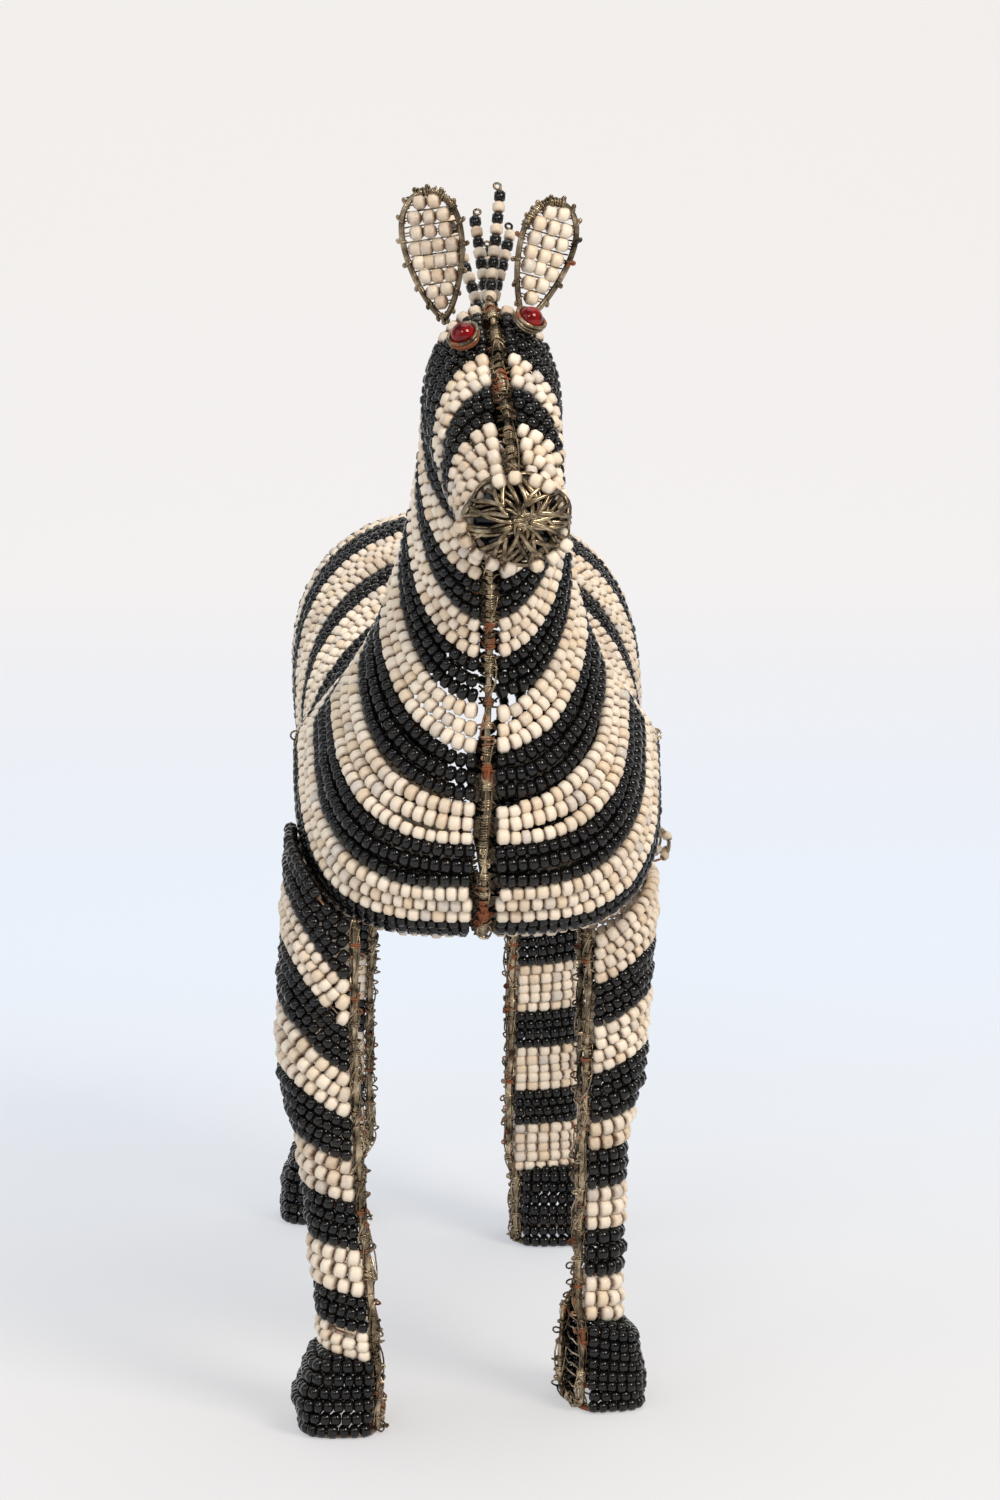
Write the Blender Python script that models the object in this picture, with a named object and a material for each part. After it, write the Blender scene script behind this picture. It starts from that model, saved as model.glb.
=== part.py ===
import math

import bmesh
import bpy
import numpy as np
from mathutils import Matrix, Vector

# A standing zebra made of bead strings wound on a wire frame.
# It faces -Y, +X is on the right of a person who looks at its face, +Z is up.
# Positions below are in 232nds of the figure's height, sizes are in metres.

FIGURE_HEIGHT = 0.232
SHARES_IN_HEIGHT = 232.0
UNIT = FIGURE_HEIGHT / SHARES_IN_HEIGHT

# Room left between two pieces that touch.
GAP = 0.0003

# Thickness of a skin made of one layer of beads.
BEAD_SKIN = 0.0023

# Body wires: heavy wire with its thin binding.
SEAM_WIRE_D = 0.0022
SEAM_WIRE_PROUD = 0.0003
LEG_WIRE_D = 0.0015
EAR_WIRE_D = 0.0015
MANE_RAIL_D = 0.0012
MANE_PIN_D = 0.0024
MANE_PIN_TIP_D = 0.0010
TAIL_D = 0.0026
TAIL_LOOP_WIRE_D = 0.0012

EYE_BEAD_D = 0.0045
EYE_RING_WIRE_D = 0.0008

# Hoofs: height at the inner side, fall of the top toward the outer side, turn in degrees.
HOOFS = {
    "front_left": (14.6, 0.0, 0.0),
    "front_right": (17.6, 0.3, 14.0),
    "hind_left": (16.5, 0.0, 0.0),
    "hind_right": (16.5, 0.0, 0.0),
}
HOOF_ROUNDNESS = 3.4
# Share of its height at which a hoof is widest.
HOOF_BULGE = 0.45
# Height above the hoof at which the leg's wire bends out to it.
LEG_WIRE_BEND = 4.5

# Hoops of the body from the muzzle back to the rump. Each lies in a plane through X.
# Row number, low point (y, z), high point (y, z), half width, share of the way up
# where it is widest, roundness of the lower half, of the upper half, shift in x.
HOOPS = np.array([
    [0.0, -51.0, 168.2, -51.5, 182.2, 9.3, 0.50, 2.1, 2.1, 4.8],
    [4.0, -45.0, 169.2, -44.3, 190.8, 10.3, 0.50, 2.1, 2.1, 3.6],
    [8.4, -39.5, 171.0, -36.0, 200.0, 11.3, 0.50, 2.1, 2.0, 2.6],
    [12.7, -34.5, 173.0, -27.0, 207.0, 11.9, 0.50, 2.1, 2.0, 2.0],
    [16.4, -30.0, 177.5, -18.0, 211.5, 12.3, 0.50, 2.1, 2.0, 1.5],
    [18.6, -26.5, 177.5, -12.5, 210.0, 12.6, 0.50, 2.0, 2.0, 1.4],
    [25.8, -22.0, 160.0, -3.0, 203.0, 13.2, 0.48, 2.0, 1.9, 1.3],
    [32.4, -18.5, 144.0, 10.0, 191.5, 15.4, 0.46, 2.0, 1.6, 1.0],
    [38.0, -20.0, 128.0, 24.0, 176.5, 20.6, 0.44, 2.1, 1.3, 0.6],
    [43.5, -21.0, 113.0, 36.0, 162.5, 28.6, 0.47, 2.7, 1.2, 0.3],
    [49.4, -14.0, 98.0, 48.0, 154.5, 34.2, 0.54, 3.3, 1.25, 0.2],
    [55.3, 4.0, 93.5, 60.0, 150.0, 34.6, 0.56, 3.2, 1.3, 0.2],
    [62.3, 26.0, 91.5, 78.0, 149.5, 33.0, 0.54, 2.8, 1.5, 0.4],
    [70.8, 50.0, 90.5, 98.0, 155.5, 34.3, 0.53, 2.4, 2.1, 0.8],
    [79.4, 75.0, 90.0, 119.0, 161.0, 36.0, 0.54, 2.3, 2.4, 0.8],
    [87.4, 98.0, 91.5, 138.0, 160.5, 36.0, 0.55, 2.3, 2.4, 0.6],
    [94.0, 117.0, 94.0, 152.5, 153.5, 34.2, 0.55, 2.2, 2.3, 0.3],
    [99.8, 133.0, 97.5, 161.0, 141.5, 29.5, 0.54, 2.1, 2.1, 0.0],
    [104.7, 144.0, 103.0, 164.0, 128.5, 20.5, 0.52, 2.0, 2.0, 0.0],
    [108.0, 150.5, 109.0, 163.5, 119.5, 9.5, 0.50, 2.0, 2.0, 0.0],
])

# Bead strings in each stripe, from the muzzle back. The first is cream, then they alternate.
FACE_STRIPES = [5, 3, 3, 5, 2]
NECK_STRIPES = [4, 3, 3, 3, 3, 3, 3, 3, 3, 3, 3]
BARREL_STRIPES = [3, 3, 3, 4, 4, 3, 5, 5, 4, 4, 4, 4, 5, 5]

# Legs, seen as a mirrored pair: side of the body, then stations from the top down with
# height, distance of the open inner edge and of the outer face from the middle, front, back.
LEGS = {
    "front_left": (-1, [
        (118.0, 24.0, 35.4, -7.0, 26.0),
        (104.0, 24.2, 36.4, -10.5, 24.0),
        (92.0, 24.3, 37.0, -12.5, 20.0),
        (76.0, 24.3, 37.6, -11.5, 16.0),
        (66.0, 24.2, 37.0, -10.5, 13.5),
        (56.0, 23.9, 34.4, -9.4, 10.5),
        (48.0, 23.5, 33.2, -8.7, 8.2),
        (37.0, 22.6, 32.2, -8.2, 7.0),
        (28.0, 21.6, 31.2, -8.0, 6.8),
        (17.0, 20.5, 30.4, -7.8, 6.5),
    ], [(18.4, 32.0, -8.6, 11.0), (17.8, 35.4, -9.4, 12.0), (18.2, 34.0, -9.0, 12.0)]),
    "front_right": (1, [
        (118.0, 21.5, 33.8, -2.0, 35.0),
        (104.0, 21.6, 34.0, -3.0, 33.0),
        (92.0, 21.4, 33.4, -2.0, 29.0),
        (76.0, 21.3, 32.4, 1.0, 26.5),
        (66.0, 21.2, 31.8, 3.0, 24.5),
        (58.0, 20.9, 29.6, 4.2, 22.5),
        (50.0, 20.6, 28.4, 5.2, 20.8),
        (44.0, 20.4, 28.2, 6.0, 19.5),
        (30.0, 20.2, 27.8, 7.0, 19.0),
        (17.0, 20.0, 27.6, 7.0, 18.5),
    ], [(17.0, 30.0, 5.6, 23.0), (16.5, 31.6, 5.0, 24.5), (17.0, 31.2, 5.4, 24.5)]),
    "hind_left": (-1, [
        (126.0, 19.0, 32.0, 112.0, 142.0),
        (108.0, 19.0, 34.0, 116.0, 151.0),
        (92.0, 19.0, 34.6, 124.0, 158.0),
        (76.0, 19.2, 33.8, 132.0, 162.0),
        (62.0, 19.8, 33.2, 138.0, 162.5),
        (50.0, 20.2, 32.8, 143.0, 163.0),
        (36.0, 20.4, 32.8, 146.0, 163.0),
        (17.0, 20.2, 33.2, 148.0, 162.5),
    ], [(20.0, 36.5, 147.5, 165.0), (21.0, 39.6, 147.0, 166.5), (22.0, 39.2, 147.5, 166.5)]),
    "hind_right": (1, [
        (122.0, 17.0, 30.6, 110.0, 141.0),
        (108.0, 15.4, 32.8, 112.0, 146.0),
        (92.0, 13.8, 32.4, 116.0, 148.0),
        (76.0, 13.0, 30.6, 121.0, 148.0),
        (62.0, 12.5, 28.8, 125.0, 147.0),
        (50.0, 12.2, 27.4, 127.5, 146.0),
        (36.0, 12.0, 26.8, 129.0, 145.0),
        (17.0, 11.8, 26.6, 129.0, 143.5),
    ], [(11.4, 28.0, 127.5, 145.0), (10.8, 28.8, 126.5, 147.0), (11.4, 28.6, 127.0, 147.0)]),
}
LEG_ROUNDNESS = 2.4

# Ears: foot (x, y, z), length, width, lean outward in degrees, turn about the long axis.
EARS = {
    "left": ((-6.6, -13.5, 208.2), 24.0, 12.8, -8.5, -12.0),
    "right": ((7.6, -13.5, 208.0), 22.9, 12.0, 16.5, 14.0),
}
EAR_PANEL = 0.0020

# Eyes: row number and place across the face as a share of its half width.
EYES = {"left": (12.0, -0.40), "right": (13.8, 0.42)}

# Mane pins along the crest: row number, length, lean across in degrees.
MANE_PINS = [
    (18.2, 26.2, 6.0), (20.2, 24.0, -6.0), (22.2, 24.5, 13.0), (24.3, 31.5, -14.0),
    (26.5, 26.5, 3.0), (29.2, 23.0, -5.0), (32.0, 19.5, 5.0), (35.0, 16.5, -4.0),
    (38.0, 13.5, 3.0),
]

# Tail from the rump to its loops.
TAIL_ROW = 96.5
TAIL_PATH = [
    (1.5, 170.0, 146.0), (7.0, 175.5, 140.0), (17.0, 178.5, 129.0), (28.0, 179.0, 115.0),
    (37.8, 177.5, 98.5), (43.8, 175.5, 85.5),
]
# Turn about the tail's end and lean across, in degrees, of each small loop that ends it.
TAIL_LOOPS = [(10.0, -32.0), (75.0, 12.0), (-35.0, 38.0)]
TAIL_LOOP_D = 8.0

# The belly wire ends here, where the rump closes.
BELLY_WIRE_LAST_ROW = 101.4
BELLY_GROOVE_LAST_ROW = 102.5

BODY_POINTS_PER_SIDE = 10
CUTTER_MARGIN = 0.0002


def catmull(keys, place):
    last = len(keys) - 1
    place = min(max(place, 0.0), float(last))
    i = min(int(place), last - 1)
    f = place - i
    before = keys[i - 1] if i > 0 else 2.0 * keys[0] - keys[1]
    after = keys[i + 2] if i + 2 <= last else 2.0 * keys[last] - keys[last - 1]
    a, b = keys[i], keys[i + 1]
    return 0.5 * (
        2.0 * a + (b - before) * f
        + (2.0 * before - 5.0 * a + 4.0 * b - after) * f * f
        + (3.0 * a - before - 3.0 * b + after) * f ** 3
    )


PLACES = np.linspace(0.0, len(HOOPS) - 1.0, 1201)
ROWS_AT_PLACES = np.array([catmull(HOOPS, p)[0] for p in PLACES])


def hoop_key(row):
    return catmull(HOOPS, float(np.interp(row, ROWS_AT_PLACES, PLACES)))


class Hoop:
    def __init__(self, row):
        key = hoop_key(row)
        self.low = np.array([key[1], key[2]]) * UNIT
        self.high = np.array([key[3], key[4]]) * UNIT
        self.half = key[5] * UNIT
        self.widest = key[6]
        self.round_low = key[7]
        self.round_high = key[8]
        self.shift = key[9] * UNIT
        self.chord = self.high - self.low
        self.up = self.chord / np.linalg.norm(self.chord)
        # Points toward the tail.
        self.normal = np.array([self.up[1], -self.up[0]])

    def point(self, angle, grow=0.0):
        s, c = math.sin(angle), math.cos(angle)
        power = 2.0 / (self.round_low if c > 0 else self.round_high)
        across = math.copysign(abs(s) ** power, s) * (self.half + grow)
        along = -math.copysign(abs(c) ** power, c)
        length = np.linalg.norm(self.chord)
        if along < 0:
            way = self.widest * length * (1.0 + along) + grow * along
        else:
            way = self.widest * length + (1.0 - self.widest) * length * along + grow * along
        yz = self.low + self.up * way
        return np.array([self.shift + across, yz[0], yz[1]])

    def angle_at(self, across, top):
        power = (self.round_high if top else self.round_low) / 2.0
        a = math.asin(min(1.0, (across / self.half) ** power))
        return math.pi - a if top else a


LEAST_SLANT = 0.35


def edge_slant(row, top):
    """How far a depth square to the body's outline is stretched when taken in the hoop's plane."""
    step = 0.4
    a, b = Hoop(row - step), Hoop(row + step)
    here = Hoop(row)
    way = (b.high - a.high) if top else (b.low - a.low)
    way = way / np.linalg.norm(way)
    square = np.array([-way[1], way[0]])
    return max(LEAST_SLANT, abs(float(np.dot(square, here.up)))), way


SEAM_INSET = SEAM_WIRE_D / 2.0 - SEAM_WIRE_PROUD
GROOVE_DEPTH = SEAM_INSET + SEAM_WIRE_D / 2.0 + GAP
GROOVE_HALF = SEAM_WIRE_D / 2.0 + GAP


def stripe_section(row, offset):
    hoop = Hoop(row)
    low_slant, _ = edge_slant(row, False)
    high_slant, _ = edge_slant(row, True)
    first = hoop.angle_at(GROOVE_HALF, False)
    last = hoop.angle_at(GROOVE_HALF, True)
    side = []
    for i in range(BODY_POINTS_PER_SIDE):
        share = i / (BODY_POINTS_PER_SIDE - 1.0)
        side.append(hoop.point(first + (last - first) * share))
    up = np.array([0.0, hoop.up[0], hoop.up[1]])
    low_depth = GROOVE_DEPTH if row < BELLY_GROOVE_LAST_ROW else GAP
    bottom_in = side[0] + up * (low_depth / low_slant)
    top_in = side[-1] - up * (GROOVE_DEPTH / high_slant)
    right = [bottom_in] + side + [top_in]
    left = []
    for p in reversed(right):
        left.append(np.array([2.0 * hoop.shift - p[0], p[1], p[2]]))
    slide = np.array([0.0, hoop.normal[0], hoop.normal[1]]) * offset
    return [p + slide for p in right + left]


def mesh_object(name, verts, faces):
    mesh = bpy.data.meshes.new(name)
    mesh.from_pydata([tuple(v) for v in verts], [], faces)
    mesh.update()
    bm = bmesh.new()
    bm.from_mesh(mesh)
    bmesh.ops.recalc_face_normals(bm, faces=bm.faces[:])
    if bm.calc_volume(signed=True) < 0.0:
        bmesh.ops.reverse_faces(bm, faces=bm.faces[:])
    bm.to_mesh(mesh)
    bm.free()
    obj = bpy.data.objects.new(name, mesh)
    bpy.context.scene.collection.objects.link(obj)
    return obj


def loft(name, sections, closed=False):
    count = len(sections[0])
    verts = [p for section in sections for p in section]
    faces = []
    spans = len(sections) if closed else len(sections) - 1
    for s in range(spans):
        here = s * count
        there = ((s + 1) % len(sections)) * count
        for i in range(count):
            j = (i + 1) % count
            faces.append((here + i, here + j, there + j, there + i))
    if not closed:
        faces.append(tuple(range(count)))
        faces.append(tuple(reversed(range(len(verts) - count, len(verts)))))
    return mesh_object(name, verts, faces)


def tube(name, path, radius, sides, closed=False, across=(1.0, 0.0, 0.0)):
    """A round bar along a path. Radius is one size, or one size per point."""
    points = [Vector(p) for p in path]
    radii = list(radius) if hasattr(radius, "__len__") else [radius] * len(points)
    sections = []
    side = Vector(across)
    for i, point in enumerate(points):
        if closed:
            way = points[(i + 1) % len(points)] - points[i - 1]
        else:
            way = points[min(i + 1, len(points) - 1)] - points[max(i - 1, 0)]
        way.normalize()
        side = (side - way * side.dot(way)).normalized()
        other = way.cross(side)
        ring = []
        for k in range(sides):
            a = 2.0 * math.pi * k / sides
            ring.append(point + (side * math.cos(a) + other * math.sin(a)) * radii[i])
        sections.append(ring)
    return loft(name, sections, closed)


def smooth_path(points, per_span):
    keys = np.array(points, dtype=float)
    steps = (len(keys) - 1) * per_span
    return [catmull(keys, i / per_span) for i in range(steps + 1)]


def join(main, tool, operation):
    mod = main.modifiers.new("join", "BOOLEAN")
    mod.operation = operation
    mod.solver = "EXACT"
    mod.object = tool
    graph = bpy.context.evaluated_depsgraph_get()
    mesh = bpy.data.meshes.new_from_object(main.evaluated_get(graph))
    main.modifiers.remove(mod)
    main.data = mesh


def drop(obj):
    bpy.data.objects.remove(obj, do_unlink=True)


def keep_largest(obj):
    bm = bmesh.new()
    bm.from_mesh(obj.data)
    left = set(bm.verts)
    parts = []
    while left:
        stack = [left.pop()]
        part = set(stack)
        while stack:
            vert = stack.pop()
            for edge in vert.link_edges:
                other = edge.other_vert(vert)
                if other in left:
                    left.discard(other)
                    part.add(other)
                    stack.append(other)
        parts.append(part)
    parts.sort(key=len, reverse=True)
    for part in parts[1:]:
        bmesh.ops.delete(bm, geom=list(part), context="VERTS")
    bm.to_mesh(obj.data)
    bm.free()


def make_material(name, color, metallic, roughness):
    mat = bpy.data.materials.new(name)
    mat.use_nodes = True
    shader = mat.node_tree.nodes["Principled BSDF"]
    shader.inputs["Base Color"].default_value = (*color, 1.0)
    shader.inputs["Metallic"].default_value = metallic
    shader.inputs["Roughness"].default_value = roughness
    return mat


LOOKS = {
    "cream_beads": ((0.78, 0.66, 0.50), 0.0, 0.45),
    "black_beads": ((0.02, 0.02, 0.024), 0.0, 0.25),
    "red_glass": ((0.42, 0.02, 0.02), 0.0, 0.12),
    "frame_wire": ((0.30, 0.24, 0.17), 0.8, 0.5),
}


def paint(obj, look):
    color, metallic, roughness = LOOKS[look]
    obj.data.materials.clear()
    obj.data.materials.append(make_material(obj.name, color, metallic, roughness))


def stripe_edges():
    edges = [0.0]
    for count in FACE_STRIPES + NECK_STRIPES + BARREL_STRIPES:
        edges.append(edges[-1] + count)
    return edges


def stripe_names():
    groups = (("face", FACE_STRIPES), ("neck", NECK_STRIPES), ("barrel", BARREL_STRIPES))
    names = []
    for part, stripes in groups:
        for _ in stripes:
            look = "cream_beads" if len(names) % 2 == 0 else "black_beads"
            names.append((part, look))
    return names


def build_stripes():
    edges = stripe_edges()
    seen = {}
    rows = edges[-1] / sum(FACE_STRIPES + NECK_STRIPES + BARREL_STRIPES)
    for i, (part, look) in enumerate(stripe_names()):
        start, end = edges[i] * rows, edges[i + 1] * rows
        seen[part] = seen.get(part, 0) + 1
        sections = [stripe_section(start, GAP / 2.0)]
        for k in (1, 2) if end - start > 4.5 else (1,):
            inner = 3.0 if end - start > 4.5 else 2.0
            sections.append(stripe_section(start + (end - start) * k / inner, 0.0))
        sections.append(stripe_section(end, -GAP / 2.0))
        name = "%s_stripe_%02d_%s" % (part, seen[part], look.split("_")[0])
        paint(loft(name, sections), look)


def body_cutter(margin):
    """The whole body from the neck back, grown by a margin."""
    edges = stripe_edges()
    first = sum(FACE_STRIPES)
    sections = []
    rows = []
    for start, end in zip(edges[:-1], edges[1:]):
        if start >= first:
            rows += [start, (start + end) / 2.0]
    rows.append(edges[-1])
    for n, row in enumerate(rows):
        hoop = Hoop(row)
        slide = margin if n == len(rows) - 1 else 0.0
        shift = np.array([0.0, hoop.normal[0], hoop.normal[1]]) * slide
        ring = []
        points = BODY_POINTS_PER_SIDE
        first_angle = hoop.angle_at(GROOVE_HALF, False)
        last_angle = hoop.angle_at(GROOVE_HALF, True)
        for i in range(points):
            angle = first_angle + (last_angle - first_angle) * i / (points - 1.0)
            ring.append(hoop.point(angle, margin * 1.15) + shift)
        mirrored = [np.array([2.0 * hoop.shift - p[0], p[1], p[2]]) for p in reversed(ring)]
        sections.append(ring + mirrored)
    return loft("cutter", sections)


def seam_wire(name, first_row, last_row, top):
    path = []
    steps = int(round((last_row - first_row) / 2.0))
    for i in range(steps + 1):
        row = first_row + (last_row - first_row) * i / steps
        hoop = Hoop(row)
        slant, way = edge_slant(row, top)
        inward = np.array([-way[1], way[0]])
        if np.dot(inward, hoop.up) > 0 and top:
            inward = -inward
        if np.dot(inward, hoop.up) < 0 and not top:
            inward = -inward
        edge = hoop.point(math.pi if top else 0.0)
        path.append((hoop.shift, edge[1] + inward[0] * SEAM_INSET, edge[2] + inward[1] * SEAM_INSET))
    obj = tube(name, path, SEAM_WIRE_D / 2.0, 6)
    paint(obj, "frame_wire")
    return obj


def hoof_turned(leg, x, y):
    """A place on a hoof after the hoof's turn about its middle, both sides taken as the right one."""
    inner, outer, front, back = [v * UNIT for v in LEGS[leg][2][0]]
    a = math.radians(HOOFS[leg][2])
    cx, cy = (inner + outer) / 2.0, (front + back) / 2.0
    dx, dy = x - cx, y - cy
    return cx + dx * math.cos(a) - dy * math.sin(a), cy + dx * math.sin(a) + dy * math.cos(a)


def hoof_top_at(leg, x):
    """Height of the hoof's top, which falls toward the outer side."""
    height, fall, _ = HOOFS[leg]
    return height * UNIT - fall * (x - LEGS[leg][1][-1][1] * UNIT)


def leg_section(side, station, skin, height_at=None):
    z, inner, outer, front, back = [v * UNIT for v in station]
    middle, half = (front + back) / 2.0, (back - front) / 2.0
    steps = 6
    power = 2.0 / LEG_ROUNDNESS
    ring = []
    for shrink in (0.0, skin):
        part = []
        for i in range(steps + 1):
            a = -math.pi / 2.0 + math.pi * i / steps
            x = inner + (outer - inner - shrink) * abs(math.cos(a)) ** power
            y = middle + (half - shrink) * math.copysign(abs(math.sin(a)) ** power, math.sin(a))
            part.append(np.array([side * x, y, height_at(x) if height_at else z]))
        ring += part if shrink == 0.0 else part[::-1]
    return ring


def hoof_section(leg, share, station):
    side = LEGS[leg][0]
    inner, outer, front, back = [v * UNIT for v in station]
    cx, cy = (inner + outer) / 2.0, (front + back) / 2.0
    rx, ry = (outer - inner) / 2.0, (back - front) / 2.0
    ring = []
    sides = 14
    power = 2.0 / HOOF_ROUNDNESS
    for i in range(sides):
        a = 2.0 * math.pi * i / sides
        c, s = math.cos(a), math.sin(a)
        x = cx + rx * math.copysign(abs(c) ** power, c)
        y = cy + ry * math.copysign(abs(s) ** power, s)
        x, y = hoof_turned(leg, x, y)
        ring.append(np.array([side * x, y, hoof_top_at(leg, x) * share]))
    return ring


def leg_inner_at(stations, z):
    zs = [s[0] for s in stations][::-1]
    return [float(np.interp(z, zs, [s[k] for s in stations][::-1])) * UNIT for k in (1, 3, 4)]


def build_legs(cutter):
    r = LEG_WIRE_D / 2.0
    for leg, (side, stations, hoof) in LEGS.items():
        height = HOOFS[leg][0]
        sections = [leg_section(side, s, BEAD_SKIN) for s in stations[:-1]]
        sections.append(leg_section(side, stations[-1], BEAD_SKIN, lambda x: hoof_top_at(leg, x) + GAP))
        skin = loft(leg + "_leg_skin", sections)
        join(skin, cutter, "DIFFERENCE")
        keep_largest(skin)
        paint(skin, "black_beads" if leg.startswith("front") else "cream_beads")

        shares = (1.0, HOOF_BULGE, 0.0)
        hoof_obj = loft(leg + "_hoof", [hoof_section(leg, share, h) for share, h in zip(shares, hoof)])
        paint(hoof_obj, "black_beads")

        clear = GAP + r
        hoof_inner = min(h[0] for h in hoof) * UNIT - clear
        front = max(h[2] for h in hoof) * UNIT + 2.0 * clear
        back = min(h[3] for h in hoof) * UNIT - 2.0 * clear
        down, up = [], []
        for z in [s[0] for s in stations[:-1]] + [height + LEG_WIRE_BEND]:
            inner, leg_front, leg_back = leg_inner_at(stations, z)
            down.append((side * (inner - clear), leg_front + r, z * UNIT))
            up.append((side * (inner - clear), leg_back - r, z * UNIT))
        low = r + GAP
        for way, y, inward in ((down, front, 2.0 * r), (up, back, -2.0 * r)):
            x_corner, y_corner = hoof_turned(leg, hoof_inner, y)
            x_base, y_base = hoof_turned(leg, hoof_inner, y + inward)
            way.append((side * x_corner, y_corner, hoof_top_at(leg, x_corner) + r + GAP))
            way.append((side * x_corner, y_corner, low + 2.0 * r))
            way.append((side * x_base, y_base, low))
        wire = tube(leg + "_leg_wire", down + up[::-1], r, 5)
        join(wire, cutter, "DIFFERENCE")
        keep_largest(wire)
        paint(wire, "frame_wire")


def ear_outline(length, width, inset, count):
    """Leaf shape: widest at about six tenths of its length, narrow at its foot."""
    points = []
    for i in range(count):
        a = 2.0 * math.pi * i / count
        v = (1.0 - math.cos(a)) / 2.0
        u = math.sin(a) * (0.56 + 0.62 * v)
        points.append([u * width * 0.52, v * length])
    pts = np.array(points)
    if inset:
        ahead = np.roll(pts, -1, axis=0) - np.roll(pts, 1, axis=0)
        ahead /= np.linalg.norm(ahead, axis=1)[:, None]
        pts = pts + np.stack([-ahead[:, 1], ahead[:, 0]], axis=1) * inset
    return pts


def build_ears():
    r = EAR_WIRE_D / 2.0
    for side, (foot, length, width, lean, turn) in EARS.items():
        place = Matrix.Translation(Vector(foot) * UNIT)
        place = place @ Matrix.Rotation(math.radians(lean), 4, "Y")
        place = place @ Matrix.Rotation(math.radians(turn), 4, "Z")
        outline = ear_outline(length * UNIT, width * UNIT, r, 20)
        path = [(u, 0.0, v) for u, v in outline]
        frame = tube(side + "_ear_wire", path, r, 4, True, (0.0, 1.0, 0.0))
        frame.data.transform(place)
        paint(frame, "frame_wire")
        inner = ear_outline(length * UNIT, width * UNIT, 2.0 * r + GAP, 20)
        half = EAR_PANEL / 2.0
        keep = [p for p in inner if p[1] > 4.0 * r]
        sections = [[(u, y, v) for u, v in keep] for y in (-half, half)]
        panel = loft(side + "_ear_beads", sections)
        panel.data.transform(place)
        paint(panel, "cream_beads")


def surface_normal(row, angle):
    here = Hoop(row).point(angle)
    ahead = Hoop(row + 0.5).point(angle) - Hoop(row - 0.5).point(angle)
    around = Hoop(row).point(angle + 0.05) - Hoop(row).point(angle - 0.05)
    normal = np.cross(ahead, around)
    normal /= np.linalg.norm(normal)
    hoop = Hoop(row)
    middle = (hoop.low + hoop.high) / 2.0
    if np.dot(normal, here - np.array([hoop.shift, middle[0], middle[1]])) < 0:
        normal = -normal
    return here, normal


def build_eyes():
    r = EYE_BEAD_D / 2.0
    wire = EYE_RING_WIRE_D / 2.0
    for side, (row, across) in EYES.items():
        hoop = Hoop(row)
        angle = hoop.angle_at(abs(across) * hoop.half, True)
        angle = angle if across > 0 else 2.0 * math.pi - angle
        here, normal = surface_normal(row, angle)
        turn = Vector(normal).to_track_quat("Z", "Y").to_matrix().to_4x4()
        centre = here + normal * (r + 2.0 * GAP)
        place = Matrix.Translation(Vector(centre)) @ turn
        rings = []
        for lift in (-0.92, -0.6, 0.0, 0.6, 0.92):
            radius = r * math.sqrt(1.0 - lift * lift)
            rings.append([
                (radius * math.cos(2.0 * math.pi * k / 10), radius * math.sin(2.0 * math.pi * k / 10), r * lift)
                for k in range(10)
            ])
        bead = loft(side + "_eye_bead", rings)
        bead.data.transform(place)
        paint(bead, "red_glass")
        reach = r + GAP + wire
        path = [
            (reach * math.cos(2.0 * math.pi * k / 14), reach * math.sin(2.0 * math.pi * k / 14), 0.0)
            for k in range(14)
        ]
        ring = tube(side + "_eye_ring", path, wire, 4, True, (0.0, 0.0, 1.0))
        ring.data.transform(place)
        paint(ring, "frame_wire")


def build_nose():
    hoop = Hoop(0.0)
    back = hoop.normal
    sections = []
    for away, share in ((0.0, 0.94), (1.6, 0.90), (3.2, 0.70), (4.2, 0.38)):
        ring = []
        middle = (hoop.low + hoop.high) / 2.0
        for k in range(14):
            p = hoop.point(2.0 * math.pi * k / 14)
            yz = middle + (p[1:] - middle) * share - back * (away * UNIT + GAP)
            ring.append((hoop.shift + (p[0] - hoop.shift) * share, yz[0], yz[1]))
        sections.append(ring)
    paint(loft("nose_wire_knot", sections), "frame_wire")


def build_mane():
    rail_r = MANE_RAIL_D / 2.0
    path = []
    rail_rows = np.linspace(MANE_PINS[0][0] - 1.0, MANE_PINS[-1][0] + 1.0, 16)
    lift = SEAM_WIRE_PROUD + GAP + rail_r
    for row in rail_rows:
        hoop = Hoop(row)
        _, way = edge_slant(row, True)
        out = np.array([-way[1], way[0]])
        out = out if np.dot(out, hoop.up) > 0 else -out
        edge = hoop.high + out * lift
        path.append((hoop.shift, edge[0], edge[1]))
    mane = tube("mane", path, rail_r, 6)
    for row, length, lean in MANE_PINS:
        hoop = Hoop(row)
        _, way = edge_slant(row, True)
        out = np.array([-way[1], way[0]])
        out = out if np.dot(out, hoop.up) > 0 else -out
        foot = hoop.high + out * lift
        side = math.sin(math.radians(lean))
        rise = math.cos(math.radians(lean))
        line = Vector((side, out[0] * rise, out[1] * rise))
        start = Vector((hoop.shift, foot[0], foot[1]))
        stops = [0.0, 0.06, 0.90, 0.93, 1.0]
        widths = [MANE_PIN_TIP_D, MANE_PIN_D, MANE_PIN_D, MANE_PIN_TIP_D, MANE_PIN_TIP_D]
        points = [start + line * (length * UNIT * s) for s in stops]
        pin = tube("pin", points, [w / 2.0 for w in widths], 6)
        join(mane, pin, "UNION")
        drop(pin)
    paint(mane, "cream_beads")


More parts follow.
